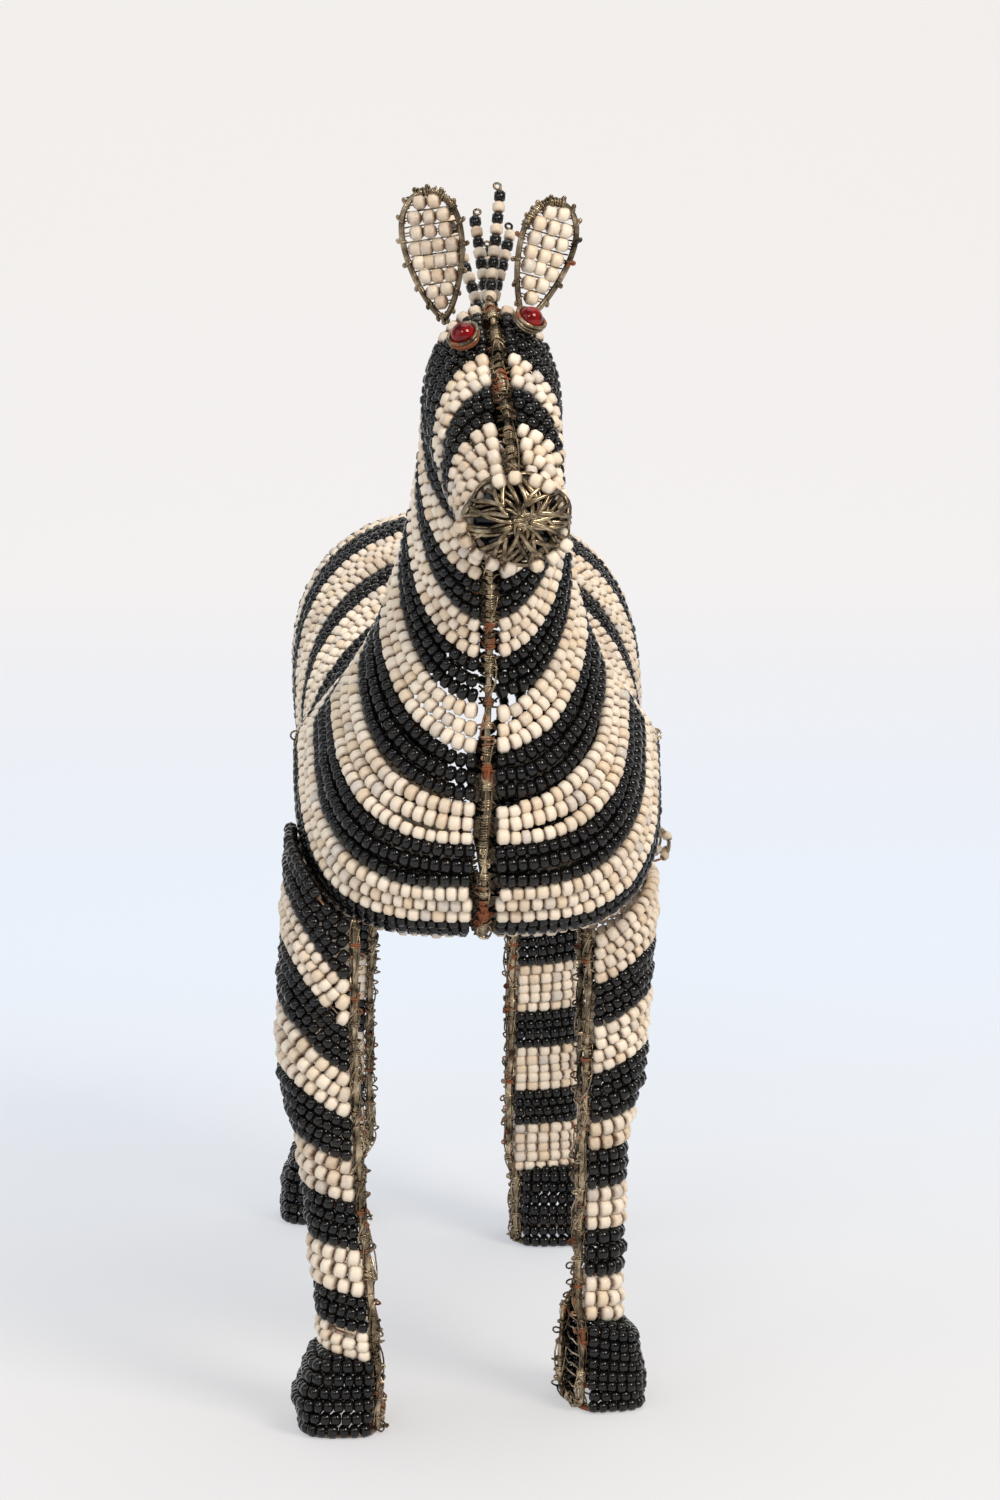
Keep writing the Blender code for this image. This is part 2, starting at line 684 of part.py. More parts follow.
def build_tail():
    hoop = Hoop(TAIL_ROW)
    _, way = edge_slant(TAIL_ROW, True)
    out = np.array([-way[1], way[0]])
    out = out if np.dot(out, hoop.up) > 0 else -out
    root = hoop.high + out * (SEAM_WIRE_PROUD + GAP)
    bend = hoop.high + out * (5.0 * UNIT)
    points = [(0.0, root[0], root[1]), (0.3 * UNIT, bend[0], bend[1])]
    points += [tuple(v * UNIT for v in p) for p in TAIL_PATH]
    path = smooth_path(points, 2)
    r = TAIL_D / 2.0
    radii = [r * 0.6] + [r] * (len(path) - 3) + [r * 0.8, r * 0.6]
    tail = tube("tail", path, radii, 6)
    loop_r = TAIL_LOOP_D * UNIT / 2.0
    for turn, lean in TAIL_LOOPS:
        ring_path = [
            (loop_r * math.cos(2.0 * math.pi * k / 8), 0.0, loop_r * math.sin(2.0 * math.pi * k / 8))
            for k in range(8)
        ]
        ring = tube("ring", ring_path, TAIL_LOOP_WIRE_D / 2.0, 4, True, (0.0, 1.0, 0.0))
        place = Matrix.Translation(Vector(TAIL_PATH[-1]) * UNIT)
        place = place @ Matrix.Rotation(math.radians(turn), 4, "Z")
        place = place @ Matrix.Rotation(math.radians(lean), 4, "X")
        ring.data.transform(place @ Matrix.Translation(Vector((0.0, 0.0, -loop_r))))
        join(tail, ring, "UNION")
        drop(ring)
    paint(tail, "cream_beads")


def centre_on_ground():
    low = np.array([1e9, 1e9, 1e9])
    high = -low
    for obj in bpy.data.objects:
        for v in obj.data.vertices:
            low = np.minimum(low, v.co)
            high = np.maximum(high, v.co)
    shift = Vector((-(low[0] + high[0]) / 2.0, -(low[1] + high[1]) / 2.0, -low[2]))
    for obj in bpy.data.objects:
        obj.data.transform(Matrix.Translation(shift))


def main():
    for obj in list(bpy.data.objects):
        bpy.data.objects.remove(obj, do_unlink=True)
    build_stripes()
    last_row = stripe_edges()[-1]
    seam_wire("crest_and_spine_wire", 0.4, last_row - 0.5, True)
    seam_wire("chest_and_belly_wire", 0.4, BELLY_WIRE_LAST_ROW, False)
    cutter = body_cutter(GAP + CUTTER_MARGIN)
    build_legs(cutter)
    drop(cutter)
    build_ears()
    build_eyes()
    build_nose()
    build_mane()
    build_tail()
    centre_on_ground()


main()
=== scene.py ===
import math

import bpy
import numpy as np
from mathutils import Matrix, Vector
from mathutils.kdtree import KDTree


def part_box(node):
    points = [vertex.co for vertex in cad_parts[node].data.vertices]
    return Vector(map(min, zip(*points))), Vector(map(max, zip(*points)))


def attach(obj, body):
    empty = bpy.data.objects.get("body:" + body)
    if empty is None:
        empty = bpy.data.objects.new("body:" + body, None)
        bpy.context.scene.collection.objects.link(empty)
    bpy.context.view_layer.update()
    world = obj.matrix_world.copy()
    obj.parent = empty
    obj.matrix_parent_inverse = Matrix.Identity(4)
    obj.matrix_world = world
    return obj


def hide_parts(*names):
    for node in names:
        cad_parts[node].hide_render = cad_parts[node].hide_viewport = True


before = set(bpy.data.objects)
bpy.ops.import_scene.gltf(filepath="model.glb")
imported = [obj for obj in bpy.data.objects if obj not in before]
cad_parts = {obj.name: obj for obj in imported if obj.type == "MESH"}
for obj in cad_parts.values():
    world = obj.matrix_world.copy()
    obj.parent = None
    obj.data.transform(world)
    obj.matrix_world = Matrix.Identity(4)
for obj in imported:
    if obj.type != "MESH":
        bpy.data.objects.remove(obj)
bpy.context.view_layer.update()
rng = np.random.default_rng(41)
mm = 0.001

# The figure's own millimetres are moved onto the frame by where the front left hoof lies.
hoofLow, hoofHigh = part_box("front_left_hoof")
anchor = np.array([
    (hoofLow.x + hoofHigh.x) / 2 / mm + 26.6,
    (hoofLow.y + hoofHigh.y) / 2 / mm - 1.3,
    0.0,
])

# Hoops of the body from the muzzle to the rump: row, low y z, high y z, half width,
# share of the way up where it is widest, roundness below and above, shift in x.
hoopKeys = np.array([
    [0.0, -51.0, 168.2, -51.5, 182.2, 9.3, 0.50, 2.1, 2.1, 4.8],
    [4.0, -45.0, 169.2, -44.3, 190.8, 10.3, 0.50, 2.1, 2.1, 3.6],
    [8.4, -39.5, 171.0, -36.0, 200.0, 11.3, 0.50, 2.1, 2.0, 2.6],
    [12.7, -34.5, 173.0, -27.0, 207.0, 11.9, 0.50, 2.1, 2.0, 2.0],
    [16.4, -30.0, 177.5, -18.0, 211.5, 12.3, 0.50, 2.1, 2.0, 1.5],
    [18.6, -26.5, 177.5, -12.5, 210.0, 12.6, 0.50, 2.0, 2.0, 1.4],
    [25.8, -22.0, 160.0, -3.0, 203.0, 13.2, 0.48, 2.0, 1.9, 1.3],
    [32.4, -18.5, 144.0, 10.0, 191.5, 15.4, 0.46, 2.0, 1.6, 1.0],
    [38.0, -20.0, 128.0, 24.0, 176.5, 20.6, 0.44, 2.1, 1.3, 0.6],
    [43.5, -21.0, 113.0, 36.0, 162.5, 28.6, 0.47, 2.7, 1.2, 0.3],
    [49.4, -14.0, 98.0, 48.0, 154.5, 34.2, 0.54, 3.3, 1.25, 0.2],
    [55.3, 4.0, 93.5, 60.0, 150.0, 34.6, 0.56, 3.2, 1.3, 0.2],
    [62.3, 26.0, 91.5, 78.0, 149.5, 33.0, 0.54, 2.8, 1.5, 0.4],
    [70.8, 50.0, 90.5, 98.0, 155.5, 34.3, 0.53, 2.4, 2.1, 0.8],
    [79.4, 75.0, 90.0, 119.0, 161.0, 36.0, 0.54, 2.3, 2.4, 0.8],
    [87.4, 98.0, 91.5, 138.0, 160.5, 36.0, 0.55, 2.3, 2.4, 0.6],
    [94.0, 117.0, 94.0, 152.5, 153.5, 34.2, 0.55, 2.2, 2.3, 0.3],
    [99.8, 133.0, 97.5, 161.0, 141.5, 29.5, 0.54, 2.1, 2.1, 0.0],
    [104.7, 144.0, 103.0, 164.0, 128.5, 20.5, 0.52, 2.0, 2.0, 0.0],
    [108.0, 150.5, 109.0, 163.5, 119.5, 9.5, 0.50, 2.0, 2.0, 0.0],
])


def catmull(keys, place):
    place = np.clip(np.asarray(place, float), 0, len(keys) - 1)
    i = np.minimum(place.astype(int), len(keys) - 2)
    f = (place - i)[..., None]
    full = np.vstack([2 * keys[0] - keys[1], keys, 2 * keys[-1] - keys[-2]])
    p0, p1, p2, p3 = full[i], full[i + 1], full[i + 2], full[i + 3]
    return 0.5 * (2 * p1 + (p2 - p0) * f + (2 * p0 - 5 * p1 + 4 * p2 - p3) * f ** 2
                  + (3 * p1 - p0 - 3 * p2 + p3) * f ** 3)


placeGrid = np.linspace(0, len(hoopKeys) - 1, 2401)
rowGrid = catmull(hoopKeys, placeGrid)[:, 0]


def keyAt(rows):
    return catmull(hoopKeys, np.interp(rows, rowGrid, placeGrid))


def bodyPoint(rows, angles):
    # Superellipse in the hoop's plane. Angle 0 is the low point, pi the high point.
    rows, angles = np.broadcast_arrays(np.asarray(rows, float), np.asarray(angles, float))
    key = keyAt(rows)
    s, c = np.sin(angles), np.cos(angles)
    power = 2 / np.where(c > 0, key[..., 7], key[..., 8])
    across = np.sign(s) * np.abs(s) ** power * key[..., 5]
    along = -np.sign(c) * np.abs(c) ** power
    widest = key[..., 6]
    share = np.where(along < 0, widest * (1 + along), widest + (1 - widest) * along)
    yz = key[..., 1:3] + (key[..., 3:5] - key[..., 1:3]) * share[..., None]
    return np.stack([key[..., 9] + across, yz[..., 0], yz[..., 1]], -1)


def unit(v):
    return v / np.maximum(np.linalg.norm(v, axis=-1, keepdims=True), 1e-9)


def bodyNormal(rows, angles):
    # Square to the steps along the body and round the hoop, turned away from the hoop's middle.
    along = bodyPoint(rows + 0.4, angles) - bodyPoint(rows - 0.4, angles)
    around = bodyPoint(rows, angles + 0.04) - bodyPoint(rows, angles - 0.04)
    normal = unit(np.cross(along, around))
    key = keyAt(rows)
    middle = np.stack([key[..., 9], (key[..., 1] + key[..., 3]) / 2, (key[..., 2] + key[..., 4]) / 2], -1)
    flip = np.sum(normal * (bodyPoint(rows, angles) - middle), -1) < 0
    return np.where(flip[..., None], -normal, normal)


def insideBody(points, margin):
    # True where a point lies inside the body shrunk by a margin: its hoop plane is found by
    # where the signed distance to the planes changes sign, then the superellipse is tested.
    rows = np.linspace(18, 108, 181)
    key = keyAt(rows)
    chord = key[:, 3:5] - key[:, 1:3]
    length = np.linalg.norm(chord, axis=1)
    up = chord / length[:, None]
    rel = points[:, None, 1:3] - key[None, :, 1:3]
    side = rel[..., 0] * up[:, 1] - rel[..., 1] * up[:, 0]
    hit = (side[:, :-1] >= 0) & (side[:, 1:] < 0)
    inside = np.zeros(len(points), bool)
    for n, k in zip(*np.nonzero(hit)):
        way = rel[n, k] @ up[k] / length[k]
        widest = key[k, 6]
        along = way / widest - 1 if way < widest else (way - widest) / (1 - widest)
        power = key[k, 7] if along < 0 else key[k, 8]
        across = abs(points[n, 0] - key[k, 9]) / max(key[k, 5] - margin, 0.1)
        if abs(along) < 1 and across ** power + abs(along * (1 + margin / (length[k] / 2))) ** power < 1:
            inside[n] = True
    return inside


def makeMaterial(name):
    mat = bpy.data.materials.new(name)
    mat.use_nodes = True
    tree = mat.node_tree
    tree.nodes.clear()
    out = tree.nodes.new("ShaderNodeOutputMaterial")
    shader = tree.nodes.new("ShaderNodeBsdfPrincipled")
    tree.links.new(shader.outputs["BSDF"], out.inputs["Surface"])
    return mat, tree, shader


def feed(tree, value, socket):
    # An output is linked to the socket, any other value is put on it.
    if isinstance(value, bpy.types.NodeSocket):
        tree.links.new(value, socket)
    else:
        socket.default_value = value


def fill(tree, node, **inputs):
    # Feeds a node's inputs by name, with underscores for the spaces.
    for key, value in inputs.items():
        feed(tree, value, node.inputs[key.replace("_", " ")])
    return node


def addNode(tree, kind, **inputs):
    return fill(tree, tree.nodes.new("ShaderNode" + kind), **inputs)


def mathNode(tree, operation, a, b, clamp=False):
    node = tree.nodes.new("ShaderNodeMath")
    node.operation, node.use_clamp = operation, clamp
    feed(tree, a, node.inputs[0])
    feed(tree, b, node.inputs[1])
    return node.outputs[0]


def mapped(tree, value, toLow, toHigh, low=0.0, high=1.0):
    return addNode(tree, "MapRange", Value=value, From_Min=low, From_Max=high,
                   To_Min=toLow, To_Max=toHigh).outputs["Result"]


def noise(tree, scale, detail, roughness=0.5):
    place = tree.nodes.new("ShaderNodeTexCoord").outputs["Object"]
    return addNode(tree, "TexNoise", Vector=place, Scale=scale, Detail=detail, Roughness=roughness).outputs["Fac"]


def ramp(tree, fac, stops):
    node = addNode(tree, "ValToRGB", Fac=fac)
    elements = node.color_ramp.elements
    while len(elements) < len(stops):
        elements.new(0.5)
    for element, (at, color) in zip(elements, stops):
        element.position = at
        element.color = (*color, 1.0)
    return node.outputs["Color"]


def attribute(tree, name):
    node = tree.nodes.new("ShaderNodeAttribute")
    node.attribute_name = name
    return node.outputs["Fac"]


def mixColor(tree, amount, under, color):
    node = tree.nodes.new("ShaderNodeMix")
    node.data_type = "RGBA"
    for value, socket in ((amount, 0), (under, 6), ((*color, 1.0), 7)):
        feed(tree, value, node.inputs[socket])
    return node.outputs[2]


def bumpOn(tree, shader, scale, strength):
    bump = addNode(tree, "Bump", Strength=strength, Distance=0.0001, Height=noise(tree, scale, 3.0, 0.6))
    feed(tree, bump.outputs["Normal"], shader.inputs["Normal"])


# Dirt and shade group: how much brown lies at a point. Real stains come from slow noise; at the bead ends it is
# painted shade of the holes and the gaps between beads, with some dirt.
dirtAndShadeLook = dict(slowScale=55.0, fineScale=900.0)
dirtAndShade = bpy.data.node_groups.new("beadDirtAndShade", "ShaderNodeTree")
for label, default in (("Ends", 0.0), ("Stain", 0.3), ("Strength", 1.0)):
    socket = dirtAndShade.interface.new_socket(name=label, in_out="INPUT", socket_type="NodeSocketFloat")
    socket.default_value = default
dirtAndShade.interface.new_socket(name="Amount", in_out="OUTPUT", socket_type="NodeSocketFloat")
given = dirtAndShade.nodes.new("NodeGroupInput").outputs
slow = mapped(dirtAndShade, noise(dirtAndShade, dirtAndShadeLook["slowScale"], 3.0, 0.6), 0.0, 1.0, 0.42, 0.68)
fine = mapped(dirtAndShade, noise(dirtAndShade, dirtAndShadeLook["fineScale"], 2.0, 0.7), 0.55, 1.15, 0.3, 0.7)
stains = mathNode(dirtAndShade, "MULTIPLY", slow, given["Stain"])
# The ends add painted shade where the hole and the gap to the next bead lie, with some real dirt.
both = mathNode(dirtAndShade, "ADD", stains, mathNode(dirtAndShade, "POWER", given["Ends"], 1.6))
broken = mathNode(dirtAndShade, "MULTIPLY", both, fine)
amount = mathNode(dirtAndShade, "MULTIPLY", broken, given["Strength"], True)
feed(dirtAndShade, amount, dirtAndShade.nodes.new("NodeGroupOutput").inputs["Amount"])


def beadMaterial(name, look):
    # Each bead's own tone from a ramp, with stains and the painted shade at the ends mixed over it, rougher where
    # these lie.
    mat, tree, shader = makeMaterial(name)
    dirtShade = tree.nodes.new("ShaderNodeGroup")
    dirtShade.node_tree = dirtAndShade
    fill(tree, dirtShade, Ends=attribute(tree, "ends"), Stain=attribute(tree, "stain"), Strength=look["strength"])
    amount = dirtShade.outputs["Amount"]
    tones = ramp(tree, attribute(tree, "tone"), look["tones"])
    fill(tree, shader, Base_Color=mixColor(tree, amount, tones, look["dirtShade"]),
         Roughness=mapped(tree, amount, look["roughness"], look["worn"]))
    bumpOn(tree, shader, look["bumpScale"], look["bump"])
    return mat, shader


creamLook = dict(tones=[(0.0, (0.66, 0.60, 0.53)), (0.16, (0.78, 0.62, 0.44)), (0.45, (0.86, 0.745, 0.60)),
                        (1.0, (0.903, 0.782, 0.63))],
                 dirtShade=(0.16, 0.085, 0.045), roughness=0.36, worn=0.75, strength=0.9, bumpScale=1500.0, bump=0.25)
creamMat, shader = beadMaterial("creamGlass", creamLook)
fill(creamMat.node_tree, shader, Subsurface_Weight=0.12, Subsurface_Radius=(1.0, 0.6, 0.35), Subsurface_Scale=0.0008)

blackLook = dict(tones=[(0.0, (0.003, 0.0035, 0.006)), (0.35, (0.0016, 0.0016, 0.0018)),
                        (1.0, (0.006, 0.0055, 0.0055))],
                 dirtShade=(0.034, 0.022, 0.013), roughness=0.10, worn=0.7, strength=0.3, bumpScale=1200.0, bump=0.08)
blackMat, shader = beadMaterial("blackGlass", blackLook)
shader.inputs["Specular IOR Level"].default_value = 0.42

wireLook = dict(dull=(0.25, 0.19, 0.12), bright=(0.62, 0.50, 0.34), rust=(0.23, 0.066, 0.020),
                dark=(0.035, 0.025, 0.016), roughness=0.27)


def wireMaterial(name, rustFrom, metallic):
    # Tarnish from dark to bright by one noise, and rust spots where another rises past rustFrom.
    mat, tree, shader = makeMaterial(name)
    metal = ramp(tree, noise(tree, 260.0, 4.0, 0.65),
                 [(0.34, wireLook["dark"]), (0.50, wireLook["dull"]), (0.66, wireLook["bright"])])
    rust = mapped(tree, noise(tree, 150.0, 4.0, 0.65), 0.0, 1.0, rustFrom, rustFrom + 0.05)
    fill(tree, shader, Base_Color=mixColor(tree, rust, metal, wireLook["rust"]),
         Metallic=mapped(tree, rust, metallic, 0.0), Roughness=mapped(tree, rust, wireLook["roughness"], 0.85))
    bumpOn(tree, shader, 900.0, 0.4)
    return mat


frameMat = wireMaterial("frameWire", 0.60, 0.9)
bindMat = wireMaterial("bindingWire", 0.57, 0.9)
legMat = wireMaterial("legWire", 0.53, 0.85)
copperMat = wireMaterial("eyeRingWire", 0.50, 0.8)
noseMat = wireMaterial("noseWire", 0.68, 0.95)

redMat, tree, shader = makeMaterial("redGlass")
reds = ramp(tree, noise(tree, 380.0, 2.0), [(0.35, (0.05, 0.0008, 0.001)), (0.65, (0.30, 0.003, 0.003))])
fill(tree, shader, Base_Color=reds, Roughness=0.07, Specular_IOR_Level=0.4)
bumpOn(tree, shader, 700.0, 0.12)
print("materials")


def fullTurn(count):
    return np.arange(count) * 2 * math.pi / count


def ringFaces(rings, sides, closed=False):
    # Quads from each ring of points to the next, and from the last to the first where closed.
    i, k = np.meshgrid(np.arange(rings if closed else rings - 1), np.arange(sides), indexing="ij")
    j, m = (i + 1) % rings, (k + 1) % sides
    return np.stack([i * sides + k, i * sides + m, j * sides + m, j * sides + k], -1).ravel()


def cappedFaces(rings, sides):
    # The same with a flat face on both ends: corners, corners of each face, and which are smooth.
    quads = (rings - 1) * sides
    corners = np.concatenate([ringFaces(rings, sides), np.arange(sides)[::-1], quads + np.arange(sides)])
    return corners, np.array([4] * quads + [sides] * 2), np.array([True] * quads + [False] * 2)


def meshFrom(name, points, faceSizes, loopVerts, smooth, matIndex, mats, slot, node=None, attributes=()):
    mesh = bpy.data.meshes.new(name)
    points = (np.asarray(points) + anchor) * mm
    mesh.vertices.add(len(points))
    mesh.vertices.foreach_set("co", points.astype(np.float32).ravel())
    mesh.loops.add(len(loopVerts))
    mesh.loops.foreach_set("vertex_index", np.asarray(loopVerts, np.int32))
    mesh.polygons.add(len(faceSizes))
    starts = np.concatenate([[0], np.cumsum(faceSizes)[:-1]])
    mesh.polygons.foreach_set("loop_start", starts.astype(np.int32))
    mesh.polygons.foreach_set("use_smooth", np.asarray(smooth, bool))
    mesh.polygons.foreach_set("material_index", np.asarray(matIndex, np.int32))
    for label, values in attributes:
        attr = mesh.attributes.new(label, "FLOAT", "POINT")
        attr.data.foreach_set("value", np.asarray(values, np.float32))
    for mat in mats:
        mesh.materials.append(mat)
    mesh.update(calc_edges=True)
    mesh.validate()
    obj = bpy.data.objects.new(name, mesh)
    bpy.context.scene.collection.objects.link(obj)
    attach(obj, "root")
    if node:
        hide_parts(node)


# A bead: four rings of points, the end rings narrower, flat ends that carry painted shade of the hole and some dirt.
beadSides = 8
beadRings = [(-0.5, 0.60), (-0.27, 1.0), (0.27, 1.0), (0.5, 0.60)]
beadTemplate = np.array([[r * math.cos(a), r * math.sin(a), z] for z, r in beadRings for a in fullTurn(beadSides)])
beadEnds = np.repeat([1.0, 0.12, 0.12, 1.0], beadSides)
beadFaces, beadFaceSizes, beadSmooth = cappedFaces(4, beadSides)


class Beads:
    def __init__(self):
        self.parts = []

    def add(self, centre, axis, out, length, radius, dark, stain=0.25):
        n = len(centre)
        self.parts.append([
            np.asarray(centre, float), unit(np.asarray(axis, float)), np.asarray(out, float),
            np.broadcast_to(length, n).astype(float), np.broadcast_to(radius, n).astype(float),
            np.full(n, float(dark)), rng.random(n), np.broadcast_to(stain, n).astype(float),
        ])

    def all(self):
        return [np.concatenate([part[k] for part in self.parts]) for k in range(8)]

    def keep(self, mask):
        self.parts = [[column[mask] for column in self.all()]]


def beadMesh(name, beads, slot="cream_beads", node=None):
    # The template stretched to each bead's radius and length, turned by chance about its string.
    centre, axis, out, length, radius, dark, tone, stain = beads.all()
    n, per = len(centre), len(beadTemplate)
    side = unit(np.cross(out, axis))
    other = np.cross(axis, side)
    turn = rng.random(n) * 2 * math.pi
    c, s = np.cos(turn)[:, None], np.sin(turn)[:, None]
    side, other = side * c + other * s, other * c - side * s
    x, y, z = (beadTemplate[None, :, k:k + 1] for k in range(3))
    wide, long = radius[:, None, None], length[:, None, None]
    points = centre[:, None] + side[:, None] * x * wide + other[:, None] * y * wide + axis[:, None] * z * long
    corners = (beadFaces[None] + (np.arange(n) * per)[:, None]).ravel()
    meshFrom(
        name, points.reshape(-1, 3), np.tile(beadFaceSizes, n), corners, np.tile(beadSmooth, n),
        np.repeat(dark.astype(int), len(beadFaceSizes)), [creamMat, blackMat], slot, node,
        [("tone", np.repeat(tone, per)), ("stain", np.repeat(stain, per)), ("ends", np.tile(beadEnds, n))])


creamBead = dict(length=2.18, radius=1.19)
blackBead = dict(length=1.86, radius=1.13)


def resample(path, ways):
    steps = np.linalg.norm(np.diff(path, axis=0), axis=1)
    way = np.concatenate([[0], np.cumsum(steps)])
    return np.stack([np.interp(ways, way, path[:, k]) for k in range(path.shape[1])], -1), way[-1]


def stringBeads(beads, path, outs, dark, stain=0.25, size=1.0, loose=0.02, jitter=0.07, girth=None):
    # Beads end to end along a path, with small random sizes and gaps that fill the whole way.
    bead = blackBead if dark else creamBead
    total = np.linalg.norm(np.diff(path, axis=0), axis=1).sum()
    count = int(round(total / (bead["length"] * size * (1 + loose))))
    if count < 1:
        return
    lengths = bead["length"] * size * np.clip(1 + rng.normal(0, 0.07, count), 0.8, 1.3)
    lengths *= min(1.0, total * 0.995 / lengths.sum())
    gaps = rng.random(count + 1) ** 2
    gaps *= max(total - lengths.sum(), 0) / gaps.sum()
    mid = np.cumsum(lengths) - lengths / 2 + np.cumsum(gaps[:-1])
    centre, _ = resample(path, mid)
    ahead, _ = resample(path, mid + 0.4)
    behind, _ = resample(path, mid - 0.4)
    out, _ = resample(np.hstack([path, outs]), mid)
    out = unit(out[:, 3:6])
    axis = unit(unit(ahead - behind) + rng.normal(0, 0.035, (count, 3)))
    radius = bead["radius"] * size * np.clip(1 + rng.normal(0, 0.035, count), 0.9, 1.1)
    if girth is not None:
        radius = radius * resample(np.hstack([path, girth[:, None]]), mid)[0][:, 3]
    centre = centre + out * rng.normal(0, jitter, (count, 1))
    beads.add(centre, axis, out, lengths, radius, dark, stain)


def girthFor(path, nextPath, dark, least, most, over=1.03):
    # Fuller beads where the next string lies far off: half the gap, and a little over, by the bead's radius.
    gap = np.linalg.norm(path[:, None] - nextPath[None], axis=2).min(1)
    return np.clip(gap / 2 * over / (blackBead if dark else creamBead)["radius"], least, most)


def tubeArrays(paths, radius, sides, closed):
    # Round tubes along many paths, each with its own frame carried along by projection.
    parts, start = [], 0
    a = fullTurn(sides)[:, None]
    for path in paths:
        path = np.asarray(path, float)
        n = len(path)
        ahead = np.roll(path, -1, 0) if closed else np.vstack([path[1:], path[-1:]])
        behind = np.roll(path, 1, 0) if closed else np.vstack([path[:1], path[:-1]])
        way = unit(ahead - behind)
        current = np.array([0.31, 0.52, 0.79])
        if abs(way[0] @ current) > 0.9:
            current = np.array([1.0, 0.0, 0.0])
        side = np.empty_like(way)
        for k in range(n):
            current = unit(current - way[k] * (current @ way[k]))
            side[k] = current
        ring = side[:, None] * np.cos(a) + np.cross(way, side)[:, None] * np.sin(a)
        points = (path[:, None] + ring * radius).reshape(-1, 3)
        if closed:
            corners, sizes, smooth = ringFaces(n, sides, True), np.full(n * sides, 4), np.ones(n * sides, bool)
        else:
            corners, sizes, smooth = cappedFaces(n, sides)
        parts.append((points, sizes, corners + start, smooth))
        start += n * sides
    return [np.concatenate(column) for column in zip(*parts)]


def tubeMesh(name, groups, mats, node=None):
    # Each group: paths, radius, then sides, closed and material index where these aren't 5, False and 0.
    parts, start = [], 0
    for group in groups:
        paths, radius, sides, closed, matIndex = (*group, *(5, False, 0)[len(group) - 2:])
        points, sizes, corners, smooth = tubeArrays(paths, radius, sides, closed)
        parts.append((points, sizes, corners + start, smooth, np.full(len(sizes), matIndex)))
        start += len(points)
    meshFrom(name, *(np.concatenate(column) for column in zip(*parts)), mats, "frame_wire", node)


def wobble(count, step, size):
    # Slow wander: a random value at every few places, straight between them.
    places = np.arange(0, count, step)
    return np.interp(np.arange(count), places, rng.normal(0, size, len(places)))


def wireRing(centre, a, b, wide, tall, count=10):
    # Closed ring: cosine along a, sine along b.
    turn = fullTurn(count)
    return centre + np.outer(np.cos(turn), a) * wide + np.outer(np.sin(turn), b) * tall


def windingPath(core, radius, pitch, rough=0.12, seedTurn=0.0, perTurn=8):
    # Helix of thin wire round a core path, with uneven pitch and reach.
    total = resample(core, [0.0])[1]
    n = max(2, int(total / pitch)) * perTurn
    way = np.linspace(0, total, n)
    centre, _ = resample(core, way + wobble(n, 5, pitch * rough))
    along = unit(resample(core, way + 0.5)[0] - resample(core, way - 0.5)[0])
    side = unit(np.cross(along, np.array([0.37, 0.21, 0.90])))
    a = seedTurn + np.arange(n) * 2 * math.pi / perTurn
    reach = radius * (1 + wobble(n, 3, rough))
    return centre + side * (np.cos(a) * reach)[:, None] + np.cross(along, side) * (np.sin(a) * reach)[:, None]


stripes = dict(
    face=[5, 3, 3, 5, 2],
    neck=[4, 3, 3, 3, 3, 3, 3, 3, 3, 3, 3],
    barrel=[3, 3, 3, 4, 4, 3, 5, 5, 4, 4, 4, 4, 5, 5],
)
seamHalf = 1.55
# Places where strings part and light shows: side, row edge, from and to across in mm, opening in mm.
partings = [
    (-1, 36.0, 5.0, 11.0, 0.1), (-1, 38.0, 7.0, 14.0, 0.3), (-1, 40.0, 8.0, 13.0, 0.3),
    (-1, 42.0, 8.0, 16.0, 0.6), (-1, 44.0, 9.0, 17.0, 0.3),
    (-1, 45.0, 8.0, 19.0, 0.7), (1, 34.0, 1.0, 6.5, 1.1), (1, 36.0, 10.0, 15.0, 0.4),
    (1, 40.0, 1.0, 6.0, 1.3), (1, 43.0, 1.0, 5.0, 0.9), (1, 46.0, 1.0, 4.0, 0.5),
    (1, 38.0, 14.0, 20.0, 0.3), (1, 47.0, 12.0, 20.0, 0.25),
]


def rowWander(row, side, across):
    # Slow wander of a string off its row, plus how far nearby partings push it.
    knots = np.random.default_rng(int(row * 7 + (side > 0) * 1000)).normal(0, 0.055, 9)
    wander = np.interp(np.linspace(0, 1, len(across)), np.linspace(0, 1, 9), knots)
    for place, edge, start, end, opening in partings:
        if place == side and abs(row - edge) < 3:
            push = opening / 2 / 2.65 * math.copysign(max(0.0, 1 - (abs(row - edge) - 0.5) / 2.5), row - edge)
            middle, half = (start + end) / 2, (end - start) / 2
            wander = wander + push * np.exp(-np.clip(np.abs(across - middle) / half, 0, 9) ** 4)
    return wander


def bodyString(row, side, dark):
    # Path of one string over one half of the body, from the low seam to the high seam.
    key = keyAt(np.array(row))
    dense = np.linspace(0.0, math.pi, 260)
    across = np.abs(np.sin(dense)) ** (2 / np.where(np.cos(dense) > 0, key[7], key[8])) * key[5]
    ok = across > seamHalf + 0.25
    angles = dense[ok] * side
    rows = row + rowWander(row, side, across[ok])
    normals = bodyNormal(rows, angles)
    return bodyPoint(rows, angles) - normals * (blackBead if dark else creamBead)["radius"], normals


class Neighbours:
    # Keeps the strings laid last, so that the next gives way where they crowd.
    def __init__(self, least, keep, short):
        self.least, self.keep, self.short, self.paths = least, keep, short, []

    def runs(self, path):
        # Longest stretches of the path that lie clear of the strings before it.
        clear = np.ones(len(path), bool)
        if self.paths:
            near = np.vstack(self.paths)
            gap = np.linalg.norm(path[:, None] - near[None], axis=2).min(1)
            clear = gap > self.least
        edges = np.flatnonzero(np.diff(np.concatenate([[0], clear.astype(int), [0]])))
        found = [(a, b) for a, b in zip(edges[::2], edges[1::2]) if b - a > self.short]
        for a, b in found:
            self.paths.append(path[a:b])
        self.paths = self.paths[-self.keep:]
        return found


